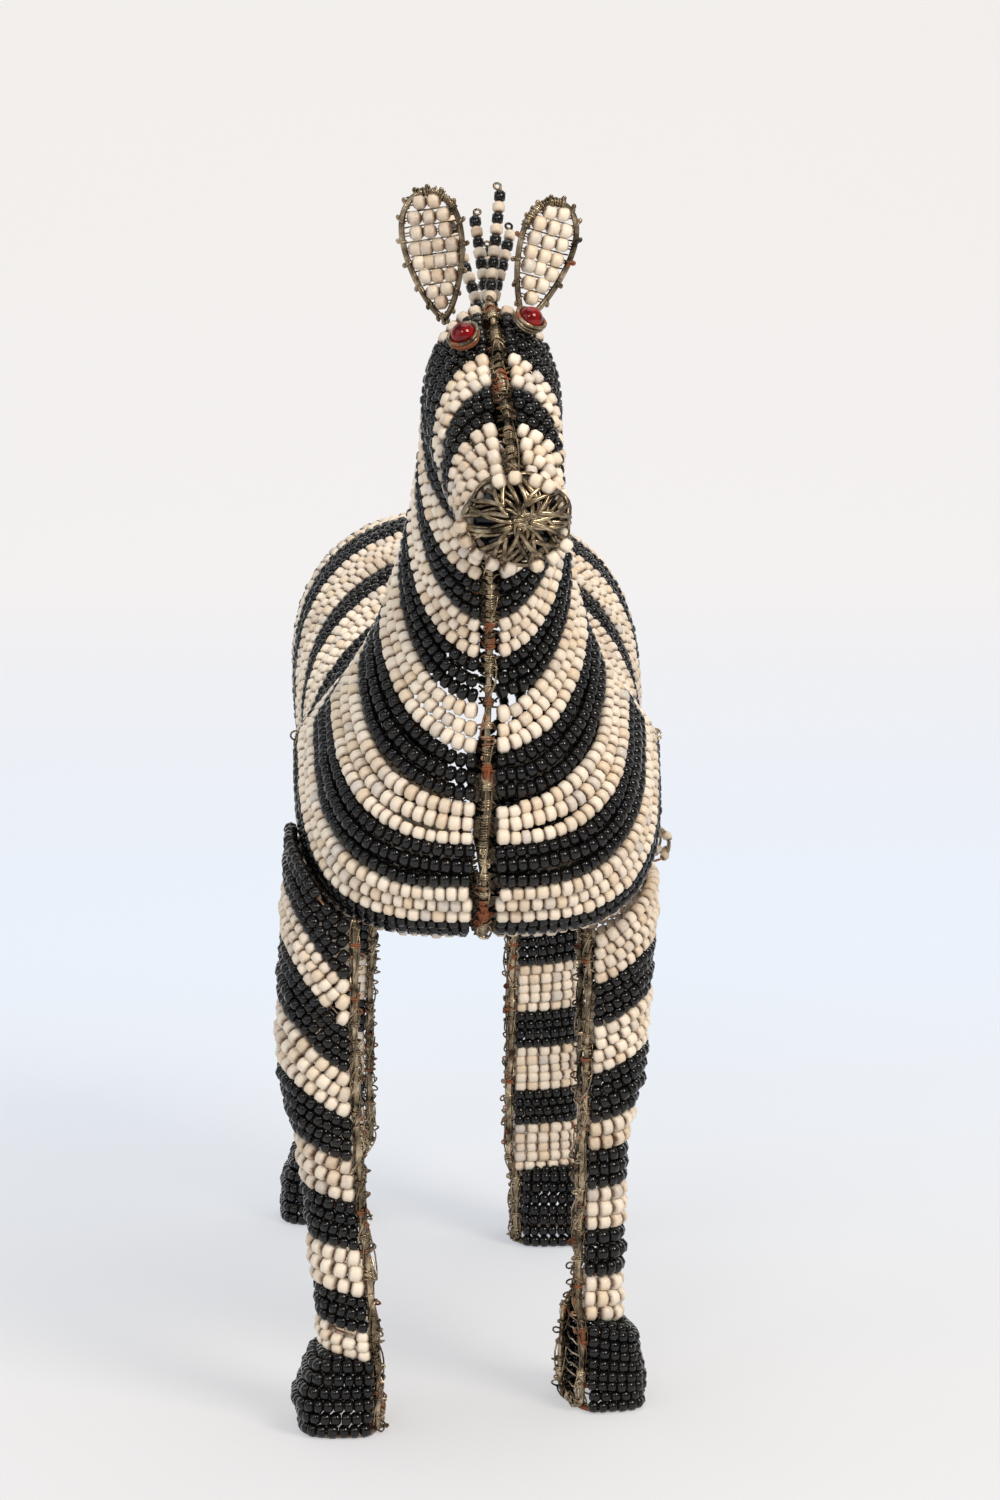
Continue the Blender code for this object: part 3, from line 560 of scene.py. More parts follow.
# Stain by part, how thin and thick a bead may be, when a string gives way to those before it, how
# far down the cheek the last face strings are cream.
stringLook = dict(stain=dict(face=0.62, neck=0.22, barrel=0.34), least=0.95, most=1.28, deeper=0.28, cheek=204.5,
                  crowded=(1.44, 8, 6), thin=0.58)
stringPaths, bodyBeads = [], {}
sideNear = {side: Neighbours(*stringLook["crowded"]) for side in (-1, 1)}
row, colour = 0.0, 0
for part, counts in stripes.items():
    for number, count in enumerate(counts, 1):
        dark = colour % 2
        beads = Beads()
        for k in range(count):
            for side in (-1, 1):
                path, normals = bodyString(row + k + 0.5, side, dark)
                size = 1.04 if part == "face" and not dark else 1.0
                beyond = bodyString(row + k + 1.5, side, dark)[0]
                girth = girthFor(path, beyond, dark, stringLook["least"], stringLook["most"])
                # Every other string lies a little deeper, so that crowded ones overlap like shingles.
                path = path - normals * (stringLook["deeper"] if (row + k) % 2 else 0.0)
                for a, b in sideNear[side].runs(path):
                    stringPaths.append(path[a:b][::6])
                    # The short cream strings between the eyes turn black down the cheek.
                    low = a + (int(np.sum(path[a:b, 2] < stringLook["cheek"])) if (part, number) == ("face", 5) else 0)
                    for c, d, isDark, grown in ((a, low, 1, 1.0), (low, b, dark, size)):
                        if d - c > 5:
                            stringBeads(beads, path[c:d], normals[c:d], isDark, stringLook["stain"][part], grown,
                                        girth=girth[c:d])
        bodyBeads["%s_stripe_%02d_%s" % (part, number, "black" if dark else "cream")] = beads
        row += count
        colour += 1
print("body strings", len(stringPaths))


def thin(groups, share):
    # Drops beads that sit deep inside an earlier bead, as where strings crowd together.
    columns = [g.all() for g in groups]
    centre, axis, _, length, radius = (np.concatenate([c[k] for c in columns]) for k in range(5))
    tree = KDTree(len(centre))
    for i, p in enumerate(centre):
        tree.insert(p, i)
    tree.balance()
    keep = np.ones(len(centre), bool)
    for i in range(len(centre)):
        for _, j, gap in tree.find_range(centre[i], 2.1 * share + 0.3):
            if j < i and keep[j]:
                along = abs((centre[i] - centre[j]) @ axis[j])
                off = math.sqrt(max(gap * gap - along * along, 0.0))
                if off < (radius[i] + radius[j]) * share and along < (length[i] + length[j]) / 2 * share:
                    keep[i] = False
                    break
    start = 0
    for g in groups:
        n = len(g.all()[0])
        g.keep(keep[start:start + n])
        start += n
    return int((~keep).sum())


print("crowded beads dropped", thin(list(bodyBeads.values()), stringLook["thin"]))
for node, beads in bodyBeads.items():
    beadMesh(node + "_beads", beads, "black_beads" if node.endswith("black") else "cream_beads", node)

# Thin wire that each string hangs on.
tubeMesh("string_wires", [(stringPaths, 0.2, 4)], [bindMat])

seamLook = dict(core=0.62, thread=0.21, reach=0.83, inset=0.95, pitch=0.43, stray=13.0)


def seamCore(firstRow, lastRow, top, count):
    rows = np.linspace(firstRow, lastRow, count)
    angle = np.full(count, math.pi if top else 0.0)
    edge = bodyPoint(rows, angle)
    step = np.gradient(edge, axis=0)
    step[:, 0] = 0
    step = unit(step)
    inward = np.stack([np.zeros(count), -step[:, 2], step[:, 1]], -1)
    key = keyAt(rows)
    chord = np.stack([np.zeros(count), key[:, 3] - key[:, 1], key[:, 4] - key[:, 2]], -1)
    chord = -chord if top else chord
    inward = np.where((np.sum(inward * chord, -1) < 0)[:, None], -inward, inward)
    return edge + inward * seamLook["inset"], inward


def rowWraps(core, out, side, rows, look, grow, leadOut):
    # Each string ends in a few turns round the heavy wire, with its ends led off to both sides.
    paths = []
    total = len(core) - 1
    for share in rows:
        at = min(max(share * total + rng.normal(0, 0.6), 2.0), total - 2.0)
        i = int(at)
        centre = core[i] + (core[i + 1] - core[i]) * (at - i)
        along = unit(core[i + 2] - core[i - 2])
        up = unit(out[i] - along * (out[i] @ along))
        across = np.cross(along, up)
        across = across if across @ side > 0 else -across
        count = 1 + rng.integers(0, 2)
        steps = int(count * 8) + 5
        a = -0.5 * math.pi + np.linspace(0, count * 2 * math.pi + math.pi, steps)
        r = look["reach"] * grow * rng.uniform(0.94, 1.1) + rng.normal(0, 0.04, steps)
        drift = (np.linspace(-0.5, 0.5, steps) * count * look["pitch"] * rng.uniform(0.8, 1.4)
                 + rng.normal(0, 0.05, steps)) * rng.choice([-1, 1])
        coil = (centre + across * (np.sin(a) * r)[:, None] + up * (np.cos(a) * r)[:, None]
                + along * drift[:, None])
        if leadOut:
            start = centre - across * leadOut - up * 0.25 + along * rng.normal(0, 0.35)
            end = centre + across * leadOut - up * 0.25 + along * rng.normal(0, 0.35)
            coil = np.vstack([start, coil, end])
        paths.append(coil)
    return paths


def seamWire(name, node, firstRow, lastRow, top):
    core, inward = seamCore(firstRow, lastRow, top, 300)
    core[:, 0] += wobble(300, 9, 0.14)
    rows = (np.arange(math.ceil(firstRow), math.floor(lastRow)) + 0.5 - firstRow) / (lastRow - firstRow)
    sideways = np.array([1.0, 0.0, 0.0])
    wraps = rowWraps(core, -inward, sideways, rows, seamLook, 1.0, 1.75)
    wraps += rowWraps(core, -inward, sideways, rows + 0.5 / (lastRow - firstRow), seamLook, 1.04, 1.55)
    strays = [windingPath(core, seamLook["reach"] * 1.2, seamLook["stray"], 0.3, 0.7, 16)]
    # Here and there a string's end was twisted into a small loop that stands up from the seam.
    nubs = []
    for share in rows[rng.random(len(rows)) < 0.45]:
        at = min(max(int(share * 299), 2), 296)
        out = unit(-inward[at] + sideways * rng.normal(0, 0.9))
        size = rng.uniform(0.45, 0.75)
        nubs.append(wireRing(core[at] + out * (seamLook["reach"] + size * 0.5), out,
                             unit(core[at + 2] - core[at - 2]), size, size * 0.7))
    tubeMesh(name, [([core], seamLook["core"], 8), (wraps + strays, seamLook["thread"], 5, False, 1),
                    (nubs, seamLook["thread"], 5, True, 1)], [frameMat, bindMat], node)


seamWire("crest_and_spine_binding", "crest_and_spine_wire", 0.4, 107.6, True)
seamWire("chest_and_belly_binding", "chest_and_belly_wire", 0.4, 101.4, False)
print("seams")

# Stations: height, inner edge, outer face, front, back. Bands from the hoof up, cream and black in
# turn: strings, height of the band's top at the inner edge. Slope: height, rise per mm outward.
legs = dict(
    front_left=dict(side=-1, top=14.6, fall=0.0, turn=0.0, stations=[
        (118.0, 24.0, 35.4, -7.0, 26.0), (104.0, 24.2, 36.4, -10.5, 24.0), (92.0, 24.3, 37.0, -12.5, 20.0),
        (76.0, 24.3, 37.6, -11.5, 16.0), (66.0, 24.2, 37.0, -10.5, 13.5), (56.0, 23.9, 34.4, -9.4, 10.5),
        (48.0, 23.5, 33.2, -8.7, 8.2), (37.0, 22.6, 32.2, -8.2, 7.0), (28.0, 21.6, 31.2, -8.0, 6.8),
        (14.0, 20.5, 30.4, -7.8, 6.5)],
        hoof=[(18.4, 32.0, -8.6, 11.0), (17.8, 35.4, -9.4, 12.0), (18.2, 34.0, -9.0, 12.0)],
        slope=[(14, 0.3), (40, 0.24), (50, 0.40), (57, 0.55), (63, 0.75), (70, 0.95), (78, 1.35), (87, 1.35),
               (120, 1.35)],
        back=0.3, low=14.6, bands=[(3, 20.0), (3, 27.0), (3, 36.0), (4, 45.2), (3, 53.2), (4, 61.6),
                                   (3, 70.4), (4, 79.0), (3, 88.0), (4, 99.0), (3, 108.6),
                                   (3, 118.5)]),
    front_right=dict(side=1, top=17.6, fall=0.3, turn=14.0, stations=[
        (118.0, 21.5, 33.8, -2.0, 35.0), (104.0, 21.6, 34.0, -3.0, 33.0), (92.0, 21.4, 33.4, -2.0, 29.0),
        (76.0, 21.3, 32.4, 1.0, 26.5), (66.0, 21.2, 31.8, 3.0, 24.5), (58.0, 20.9, 29.6, 4.2, 22.5),
        (50.0, 20.6, 28.4, 5.2, 20.8), (44.0, 20.4, 28.2, 6.0, 19.5), (30.0, 20.2, 27.8, 7.0, 19.0),
        (14.0, 20.0, 27.6, 7.0, 18.5)],
        hoof=[(17.0, 30.0, 5.6, 23.0), (16.5, 31.6, 5.0, 24.5), (17.0, 31.2, 5.4, 24.5)],
        slope=[(17, -0.2), (24, -0.05), (30, 0.0), (50, 0.05), (57, 0.3), (64, 0.5), (74, 0.55), (84, 0.7),
               (92, 0.85), (120, 0.9)],
        back=0.25, low=17.9, bands=[(3, 26.3), (3, 35.6), (3, 43.9), (3, 51.5), (2, 57.0), (4, 66.6),
                                    (4, 76.0), (4, 84.4), (4, 94.0), (4, 103.0), (3, 110.5),
                                    (3, 118.0)]),
    hind_left=dict(side=-1, top=16.5, fall=0.0, turn=0.0, stations=[
        (126.0, 19.0, 32.0, 112.0, 142.0), (108.0, 19.0, 34.0, 116.0, 151.0), (92.0, 19.0, 34.6, 124.0, 158.0),
        (76.0, 19.2, 33.8, 132.0, 162.0), (62.0, 19.8, 33.2, 138.0, 162.5), (50.0, 20.2, 32.8, 143.0, 163.0),
        (36.0, 20.4, 32.8, 146.0, 163.0), (16.8, 20.2, 33.2, 148.0, 162.5)],
        hoof=[(20.0, 36.5, 147.5, 165.0), (21.0, 39.6, 147.0, 166.5), (22.0, 39.2, 147.5, 166.5)],
        slope=[(17, 0.0), (50, 0.03), (64, 0.08), (80, 0.22), (126, 0.3)],
        back=0.1, low=16.8, bands=[(5, 27.2), (4, 34.8), (5, 44.6), (4, 52.4), (5, 62.8), (5, 73.2),
                                   (4, 81.4), (5, 92.6), (5, 103.8), (5, 115.0), (5, 126.0)]),
    hind_right=dict(side=1, top=16.5, fall=0.0, turn=0.0, stations=[
        (122.0, 17.0, 30.6, 110.0, 141.0), (108.0, 15.4, 32.8, 112.0, 146.0), (92.0, 13.8, 32.4, 116.0, 148.0),
        (76.0, 13.0, 30.6, 121.0, 148.0), (62.0, 12.5, 28.8, 125.0, 147.0), (50.0, 12.2, 27.4, 127.5, 146.0),
        (36.0, 12.0, 26.8, 129.0, 145.0), (16.8, 11.8, 26.6, 129.0, 143.5)],
        hoof=[(11.4, 28.0, 127.5, 145.0), (10.8, 28.8, 126.5, 147.0), (11.4, 28.6, 127.0, 147.0)],
        slope=[(17, 0.0), (50, 0.03), (64, 0.08), (80, 0.28), (92, 0.5), (126, 0.6)],
        back=0.1, low=16.8, bands=[(5, 27.0), (4, 34.6), (5, 44.2), (4, 52.4), (5, 63.0), (5, 73.6),
                                   (4, 82.0), (5, 93.2), (5, 104.4), (5, 115.6), (4, 123.6)]),
)
legRound = 2.4


def legPoint(leg, z, phi, inset=0.0):
    # Half superellipse open on the inner side. Phi -90 degrees is the front edge, 90 the back.
    stations = np.array(leg["stations"])[::-1]
    at = np.interp(z, stations[:, 0], np.arange(len(stations)))
    key = catmull(stations, at)
    inner, outer, front, back = (key[..., k] for k in (1, 2, 3, 4))
    c, s = np.abs(np.cos(phi)) ** (2 / legRound), np.abs(np.sin(phi)) ** (2 / legRound) * np.sign(np.sin(phi))
    x = inner + (outer - inner - inset) * c
    y = (front + back) / 2 + ((back - front) / 2 - inset) * s
    return np.stack([leg["side"] * x, y, np.broadcast_to(z, np.shape(x))], -1)


def legString(leg, start):
    # Height climbs outward by the slope at this row, and backward more gently.
    phi = np.linspace(-math.pi / 2, math.pi / 2, 120)
    slope = np.interp(start, *np.array(leg["slope"]).T)
    z = np.full(120, float(start))
    for _ in range(4):
        p = legPoint(leg, z, phi, 1.15)
        across = np.abs(p[:, 0]) - np.abs(p[0, 0])
        across = across - 1.8 * (1 - np.exp(-across / 1.8))
        reach = p[:, 1] - p[:, 1].min()
        z = start + slope * across + leg["back"] * min(1.0, slope) * reach * 0.5
    step = np.gradient(legPoint(leg, z, phi, 0.0), axis=0)
    out = unit(np.stack([step[:, 1], -step[:, 0], np.zeros(120)], -1)) * -leg["side"]
    return legPoint(leg, z, phi, 1.15), out


def hoofTurned(leg, x, y):
    # A place on a hoof after its turn about its middle, both sides taken as the right one.
    inner, outer, front, back = leg["hoof"][0]
    a = math.radians(leg["turn"])
    cx, cy = (inner + outer) / 2, (front + back) / 2
    dx, dy = x - cx, y - cy
    return cx + dx * math.cos(a) - dy * math.sin(a), cy + dx * math.sin(a) + dy * math.cos(a)


def hoofTopAt(leg, x):
    return leg["top"] - leg["fall"] * (x - leg["stations"][-1][1])


def legWirePlace(leg, z, front):
    # Middle of the heavy wire at the open edge of a leg.
    stations = np.array(leg["stations"])[::-1]
    inner, edge = (np.interp(z, stations[:, 0], stations[:, k]) for k in (1, 3 if front else 4))
    return np.stack([leg["side"] * (inner - 1.05), edge + (0.75 if front else -0.75), np.asarray(z, float)], -1)


# Height of a cream and a black string, thickness of cream beads at three heights, how thin and thick
# a bead may be, when a string gives way to those before it, scatter of the lead wires' ends.
legLook = dict(pitch=(2.6, 2.42), heights=[20.0, 60.0, 90.0], cream=[1.12, 1.08, 1.0], least=1.0, most=1.36, over=1.09,
               crowded=(1.58, 6, 10), deeper=0.3, stain=0.42, ends=0.35, thin=0.72)
legPaths, legLeads, legGroups = [], [], {}
for name, leg in legs.items():
    beads = Beads()
    near = Neighbours(*legLook["crowded"])
    low = leg["low"]
    for number, (count, high) in enumerate(leg["bands"]):
        dark = number % 2
        room = (high - low) / count / legLook["pitch"][dark]
        size = min(max(room, 1.0), 1.12) if dark else float(np.interp(low, legLook["heights"], legLook["cream"]))
        for k in range(count):
            z = low + (high - low) * (k + 0.5) / count
            path, out = legString(leg, z)
            beyond = legString(leg, z + (high - low) / count)[0]
            girth = girthFor(path, beyond, dark, legLook["least"], legLook["most"], legLook["over"])
            # Every other string lies a little lower, so that the crowded ones overlap.
            path = path - out * (legLook["deeper"] if k % 2 else 0.0)
            inside = insideBody(path, -0.9)
            first = int(np.argmax(inside)) if inside.any() else len(path)
            pieces = [(0, first)]
            if inside.any():
                last = len(path) - int(np.argmax(inside[::-1]))
                pieces.append((last, len(path)))
            for a, b in pieces:
                for c, d in near.runs(path[a:b]) if b - a > 7 else []:
                    stringBeads(beads, path[a + c:a + d], out[a + c:a + d], dark, legLook["stain"], size,
                                girth=girth[a + c:a + d] / max(size, 1.0))
                    legPaths.append(path[a + c:a + d:5])
            # Thin wire leads each string on to the heavy wires at its two ends.
            for at, isFront in ((0, True), (-1, False)):
                if not inside[at]:
                    wire = legWirePlace(leg, path[at, 2] + rng.normal(0, 0.7), isFront)
                    for _ in range(2):
                        end = wire + rng.normal(0, legLook["ends"], 3)
                        t = np.linspace(0, 1, 5)[:, None]
                        legLeads.append(path[at] + (end - path[at]) * t + out[at] * 0.3 * np.sin(t * math.pi))
        low = high
    legGroups[name] = beads
print("leg beads dropped", thin(list(legGroups.values()), legLook["thin"]))
for name, beads in legGroups.items():
    beadMesh(name + "_leg_beads", beads, "black_beads" if name.startswith("front") else "cream_beads",
             name + "_leg_skin")

# Hoof strings run round the outer side only, from the front wire to the back wire.
hoofLook = dict(strings=dict(front_left=6, front_right=8, hind_left=7, hind_right=7), round=3.4, bulge=0.45,
                first=1.4, inset=1.15, least=1.05, most=1.45, over=1.08, stain=0.5,
                open=dict(front_left=(-2.3, 2.4), front_right=(-2.25, 2.62), hind_left=(-2.3, 2.4),
                          hind_right=(-2.3, 2.4)))


def hoofPoint(leg, share, turn, inset):
    # Superellipse at a share of the hoof's height, turned about its middle, its top falling outward.
    levels = np.array([[1.0, *leg["hoof"][0]], [hoofLook["bulge"], *leg["hoof"][1]], [0.0, *leg["hoof"][2]]])[::-1]
    inner, outer, front, back = (np.interp(share, levels[:, 0], levels[:, k]) for k in (1, 2, 3, 4))
    c, s, power = np.cos(turn), np.sin(turn), 2 / hoofLook["round"]
    x = (inner + outer) / 2 + ((outer - inner) / 2 - inset) * np.sign(c) * np.abs(c) ** power
    y = (front + back) / 2 + ((back - front) / 2 - inset) * np.sign(s) * np.abs(s) ** power
    x, y = hoofTurned(leg, x, y)
    return np.stack([leg["side"] * x, y, share * hoofTopAt(leg, x)], -1)


def fromMiddle(path):
    # Level directions from the path's middle out to each of its points.
    return unit((path - path.mean(0)) * [1, 1, 0])


hoofWires, hoofThreads = [], []
for name, leg in legs.items():
    beads = Beads()
    opening = np.linspace(*hoofLook["open"][name], 140)
    shares = np.linspace(hoofLook["first"] / leg["top"], 1 - 0.9 / leg["top"], hoofLook["strings"][name])
    for k, share in enumerate(shares):
        path = hoofPoint(leg, share, opening, hoofLook["inset"] + rng.normal(0, 0.14))
        path[:, 2] = np.maximum(path[:, 2] + 0.10 * np.sin(opening * 1.3 + k * 2.1) * (k > 0), 1.3)
        above = hoofPoint(leg, share + shares[1] - shares[0], opening, hoofLook["inset"])
        girth = girthFor(path, above, 1, hoofLook["least"], hoofLook["most"], hoofLook["over"])
        stringBeads(beads, path, fromMiddle(path), 1, hoofLook["stain"], girth=girth)
        hoofThreads.append(path[::5])
        # Behind the opening the string's wire runs on across the hoof's inner side.
        t = np.linspace(0, 1, 9)[:, None]
        line = path[-1] + (path[0] - path[-1]) * t
        line[:, 0] -= leg["side"] * 0.8 * np.sin(t[:, 0] * math.pi)
        line[:, 2] = np.maximum(line[:, 2] + rng.normal(0, 0.2, 9), 0.5)
        hoofThreads.append(line)
    # A last string closes the top round the foot of the leg.
    path = hoofPoint(leg, 1.0, opening * 0.9, 2.3) + [0, 0, 0.3]
    stringBeads(beads, path, fromMiddle(path), 1, hoofLook["stain"])
    beadMesh(name + "_hoof_beads", beads, "black_beads", name + "_hoof")
    circle = fullTurn(46)
    for z, inset, shake in ((0.55, 1.2, 0.1), (0.6, 2.0, 0.25)):
        sole = hoofPoint(leg, 0.02, circle, inset)
        sole[:, 2] = z + 0.08 * np.sin(circle * 3) ** 2
        sole[:, 0] += np.sin(circle * 5) * shake
        hoofWires.append(sole)
tubeMesh("hoof_sole_wires", [(hoofWires, 0.5, 6, True), (hoofThreads, 0.2)], [legMat])
print("hoofs")

legWireLook = dict(core=0.6, thread=0.2, reach=0.82, pitch=0.42, loop=0.78)
for name, leg in legs.items():
    heights = np.linspace(118, leg["top"] + 2.5, 44)
    down, up = legWirePlace(leg, heights, True), legWirePlace(leg, heights, False)
    corners = []
    for turn in (hoofLook["open"][name][0] - 0.2, hoofLook["open"][name][1] + 0.2):
        corner = hoofPoint(leg, np.linspace(1.0, 0.16, 6), turn, 0.3)
        foot = hoofPoint(leg, np.array([0.07]), math.copysign(abs(turn) + 0.12, turn), 0.4)
        corners.append(np.vstack([corner, foot]))
    base = corners[0][-1] + (corners[1][-1] - corners[0][-1]) * np.linspace(0.15, 0.85, 5)[:, None]
    core = np.vstack([down, corners[0], base, corners[1][::-1], up[::-1]])
    core = core[~insideBody(core, -0.2)]
    long = resample(core, [0.0])[1]
    core, _ = resample(core, np.linspace(0, long, 300))
    for _ in range(6):
        core[1:-1] = core[1:-1] * 0.5 + (core[2:] + core[:-2]) * 0.25
    core[:, 0] += wobble(300, 8, 0.15)
    core[:, 2] = np.maximum(core[:, 2], 1.05)
    count = int(long / 2.7)
    inwards = np.tile([-leg["side"], 0.0, 0.0], (300, 1))
    sideways = np.array([0.0, 1.0, 0.0])
    shares = (np.arange(count) + 0.5) / count + rng.normal(0, 0.12, count) / count
    wraps = rowWraps(core, inwards, sideways, shares[rng.random(count) < 0.6], legWireLook, 1.0, 0)
    strays = [windingPath(core, 0.92, 9.0, 0.25, turn, 18) for turn in (0.4, 2.9)]
    # Small loops stand off the wire at most strings, where their ends were twisted.
    loops = []
    for share in shares[rng.random(count) < 0.7] + 0.15 / count:
        at = min(max(int(share * 299), 2), 296)
        size = legWireLook["loop"] * rng.uniform(0.45, 1.2)
        along = unit(unit(core[at + 2] - core[at - 2]) + rng.normal(0, 0.35, 3))
        off = unit(inwards[at] + sideways * rng.normal(0, 0.8))
        loops.append(wireRing(core[at] + off * (0.35 + size * 0.75), off, along, size, size * 0.7)
                     + np.outer(np.sin(fullTurn(10) * 2), np.cross(off, along)) * 0.2)
    # Lashings cross the open side from the front wire to the back wire in a zigzag.
    lashings = []
    z, flip = leg["top"] + 3.0, 1
    while z < 88:
        a, b = legWirePlace(leg, z, True), legWirePlace(leg, z, False)
        t = np.linspace(0, 1, 9)
        line = a + (b - a) * t[:, None]
        line[:, 0] += leg["side"] * (0.3 + 0.5 * np.sin(t * math.pi) + rng.normal(0, 0.1, 9))
        rise = rng.choice([1.5, 3.0, 9.0]) * rng.uniform(0.6, 1.2)
        line[:, 2] += flip * (t - 0.5) * rise + rng.normal(0, 0.12, 9)
        lashings.append(line)
        z += rng.uniform(1.0, 2.4)
        flip = -flip
    for part in (*loops, *wraps, *strays):
        part[:, 2] = np.maximum(part[:, 2], 0.3)
    tubeMesh(name + "_leg_binding", [
        ([core], legWireLook["core"], 8), (wraps, legWireLook["thread"], 5, False, 1),
        (lashings + strays, 0.18), (loops, 0.2, 5, True, 1)], [frameMat, legMat], name + "_leg_wire")
tubeMesh("leg_string_wires", [(legPaths + legLeads, 0.2, 4)], [legMat])
print("leg wires")

ears = dict(
    left=dict(foot=(-6.6, -13.5, 208.2), length=24.0, width=12.8, lean=-8.5, turn=-12.0,
              rows=[(0.895, 2), (0.785, 3), (0.675, 3), (0.565, 4), (0.455, 4), (0.345, 3), (0.235, 2), (0.14, 1)]),
    right=dict(foot=(7.6, -13.5, 208.0), length=22.9, width=12.0, lean=16.5, turn=14.0,
               rows=[(0.885, 2), (0.77, 3), (0.655, 3), (0.54, 3), (0.425, 3), (0.31, 2), (0.20, 1)]),
)


def rotation(axis, degrees):
    return np.array(Matrix.Rotation(math.radians(degrees), 3, axis))


def earOutline(ear, inset, count):
    # Leaf: widest at about six tenths of its length, narrow at its foot.
    a = fullTurn(count)
    v = (1 - np.cos(a)) / 2
    u = np.sin(a) * (0.56 + 0.62 * v)
    pts = np.stack([u * ear["width"] * 0.52, v * ear["length"]], -1)
    ahead = unit(np.roll(pts, -1, 0) - np.roll(pts, 1, 0))
    return pts + np.stack([-ahead[:, 1], ahead[:, 0]], -1) * inset


for side, ear in ears.items():
    spin = rotation("Y", ear["lean"]) @ rotation("Z", ear["turn"])

    def place(p):
        return np.asarray(p) @ spin.T + ear["foot"]

    outline = earOutline(ear, 0.75, 72)
    ring = np.stack([outline[:, 0], np.zeros(72), outline[:, 1]], -1)
    # Close turns cover the outer shoulder of the tip; elsewhere each thread ends in a turn and a knob.
    tip = ring[26:40] if side == "left" else ring[34:50]
    wraps = [place(windingPath(tip, 0.70, 0.46, 0.06, 1.0)), place(windingPath(tip, 0.86, 1.3, 0.2, 2.0))]
    knobs = []
    for k in range(3, 72, 4):
        out = unit(ring[k] - np.array([0, 0, ear["length"] * 0.55]))
        along = unit(ring[(k + 1) % 72] - ring[k - 1])
        a = np.linspace(0, 2.6 * math.pi, 17)
        turnRound = np.outer(np.cos(a), out) + np.outer(np.sin(a), [0, 1, 0])
        wraps.append(place(ring[k] + turnRound * 0.72 + np.outer(np.linspace(-0.3, 0.3, 17), along)))
        centre = ring[k] + out * rng.uniform(0.8, 1.0) + along * rng.normal(0, 0.1)
        knobs.append(place(wireRing(centre, out, along, 0.3, 0.26, 8)))
    tubeMesh(side + "_ear_whipping", [([place(ring)], 0.56, 10, True), (wraps, 0.19, 5, False, 1),
                                      (knobs, 0.26, 6, True, 1)], [frameMat, bindMat], side + "_ear_wire")

    beads = Beads()
    threads = []
    for v, count in ear["rows"]:
        height = v * ear["length"]
        near = np.abs(ring[:, 2] - height)
        half = np.sort(np.abs(ring[near < 0.9][:, 0]))[-1] - 0.95 if (near < 0.9).any() else 1.2
        pitch = min(2.62, 2 * max(half, 1.2) / count)
        xs = (np.arange(count) - (count - 1) / 2) * pitch + rng.normal(0, 0.08, count)
        zs = height + rng.normal(0, 0.1, count)
        centre = place(np.stack([xs, rng.normal(-0.1, 0.08, count), zs], -1))
        axis = np.tile(spin @ np.array([1.0, 0, 0]), (count, 1)) + rng.normal(0, 0.05, (count, 3))
        out = np.tile(spin @ np.array([0, -1.0, 0]), (count, 1))
        lengths, radii = 2.38 * rng.uniform(0.94, 1.04, count), 1.34 * rng.uniform(0.95, 1.04, count)
        beads.add(centre, axis, out, lengths, radii, 0, 0.85)
        # Two threads carry the row, and a third wavers between it and the next.
        t = np.linspace(-1, 1, 7)
        for dz in (-0.25, 0.25):
            threads.append(place(np.stack([t * max(half + 0.9, 1.5), 0.25 * np.cos(t * 9), 0 * t + height + dz], -1)))
        t = np.linspace(-1, 1, 9)
        threads.append(place(np.stack([t * max(half + 0.5, 1.5), 0.3 + 0.2 * np.cos(t * 11),
                                       height + 1.25 + 0.15 * np.sin(t * 13)], -1)))
    beadMesh(side + "_ear_bead_rows", beads, "cream_beads", side + "_ear_beads")
    tubeMesh(side + "_ear_threads", [(threads, 0.15)], [bindMat])
print("ears")

eyeLook = dict(left=(12.0, -0.40), right=(13.8, 0.42), radius=2.25, ring=0.36)
for side in ("left", "right"):
    row, share = eyeLook[side]
    angle = math.copysign(math.pi - math.asin(abs(share) ** (keyAt(np.array(row))[8] / 2)), share)
    normal = bodyNormal(np.array(row), np.array(angle))
    centre = bodyPoint(row, angle) + normal * (eyeLook["radius"] + 0.6)
    flat = unit(np.cross(normal, [0, 0, 1.0]))
    other = np.cross(normal, flat)
    # Ball from rings that run from its back to its front, with small flat ends.
    turn, lift = np.meshgrid(fullTurn(24), np.linspace(-1, 1, 13)[1:-1] * math.pi / 2)
    ways = np.stack([np.cos(turn) * np.cos(lift), np.sin(turn) * np.cos(lift), np.sin(lift)], -1).reshape(-1, 3)
    corners, sizes, _ = cappedFaces(11, 24)
    meshFrom(side + "_eye_glass", centre + ways @ np.array([flat, other, normal]) * eyeLook["radius"], sizes, corners,
             np.ones(len(sizes)), np.zeros(len(sizes)), [redMat], "red_glass", side + "_eye_bead")
    a = fullTurn(32)
    rings = []
    for reach, lift in ((2.62, -0.5), (2.72, 0.25), (2.1, -1.3)):
        wave = (reach + 0.06 * np.sin(a * 3 + lift))[:, None]
        rings.append(centre + (np.outer(np.cos(a), flat) + np.outer(np.sin(a), other)) * wave + normal * lift)
    tubeMesh(side + "_eye_wire_rings", [(rings, eyeLook["ring"], 7, True)], [copperMat], side + "_eye_ring")
print("eyes")

noseLook = dict(spokes=11, petals=12, wire=0.45, depth=4.1)
key = keyAt(np.array(0.0))
nose = dict(x=key[9], y=-51.5, z=(key[2] + key[4]) / 2 + 1.1, wide=key[5] * 0.97, tall=(key[4] - key[2]) / 2 * 1.1)


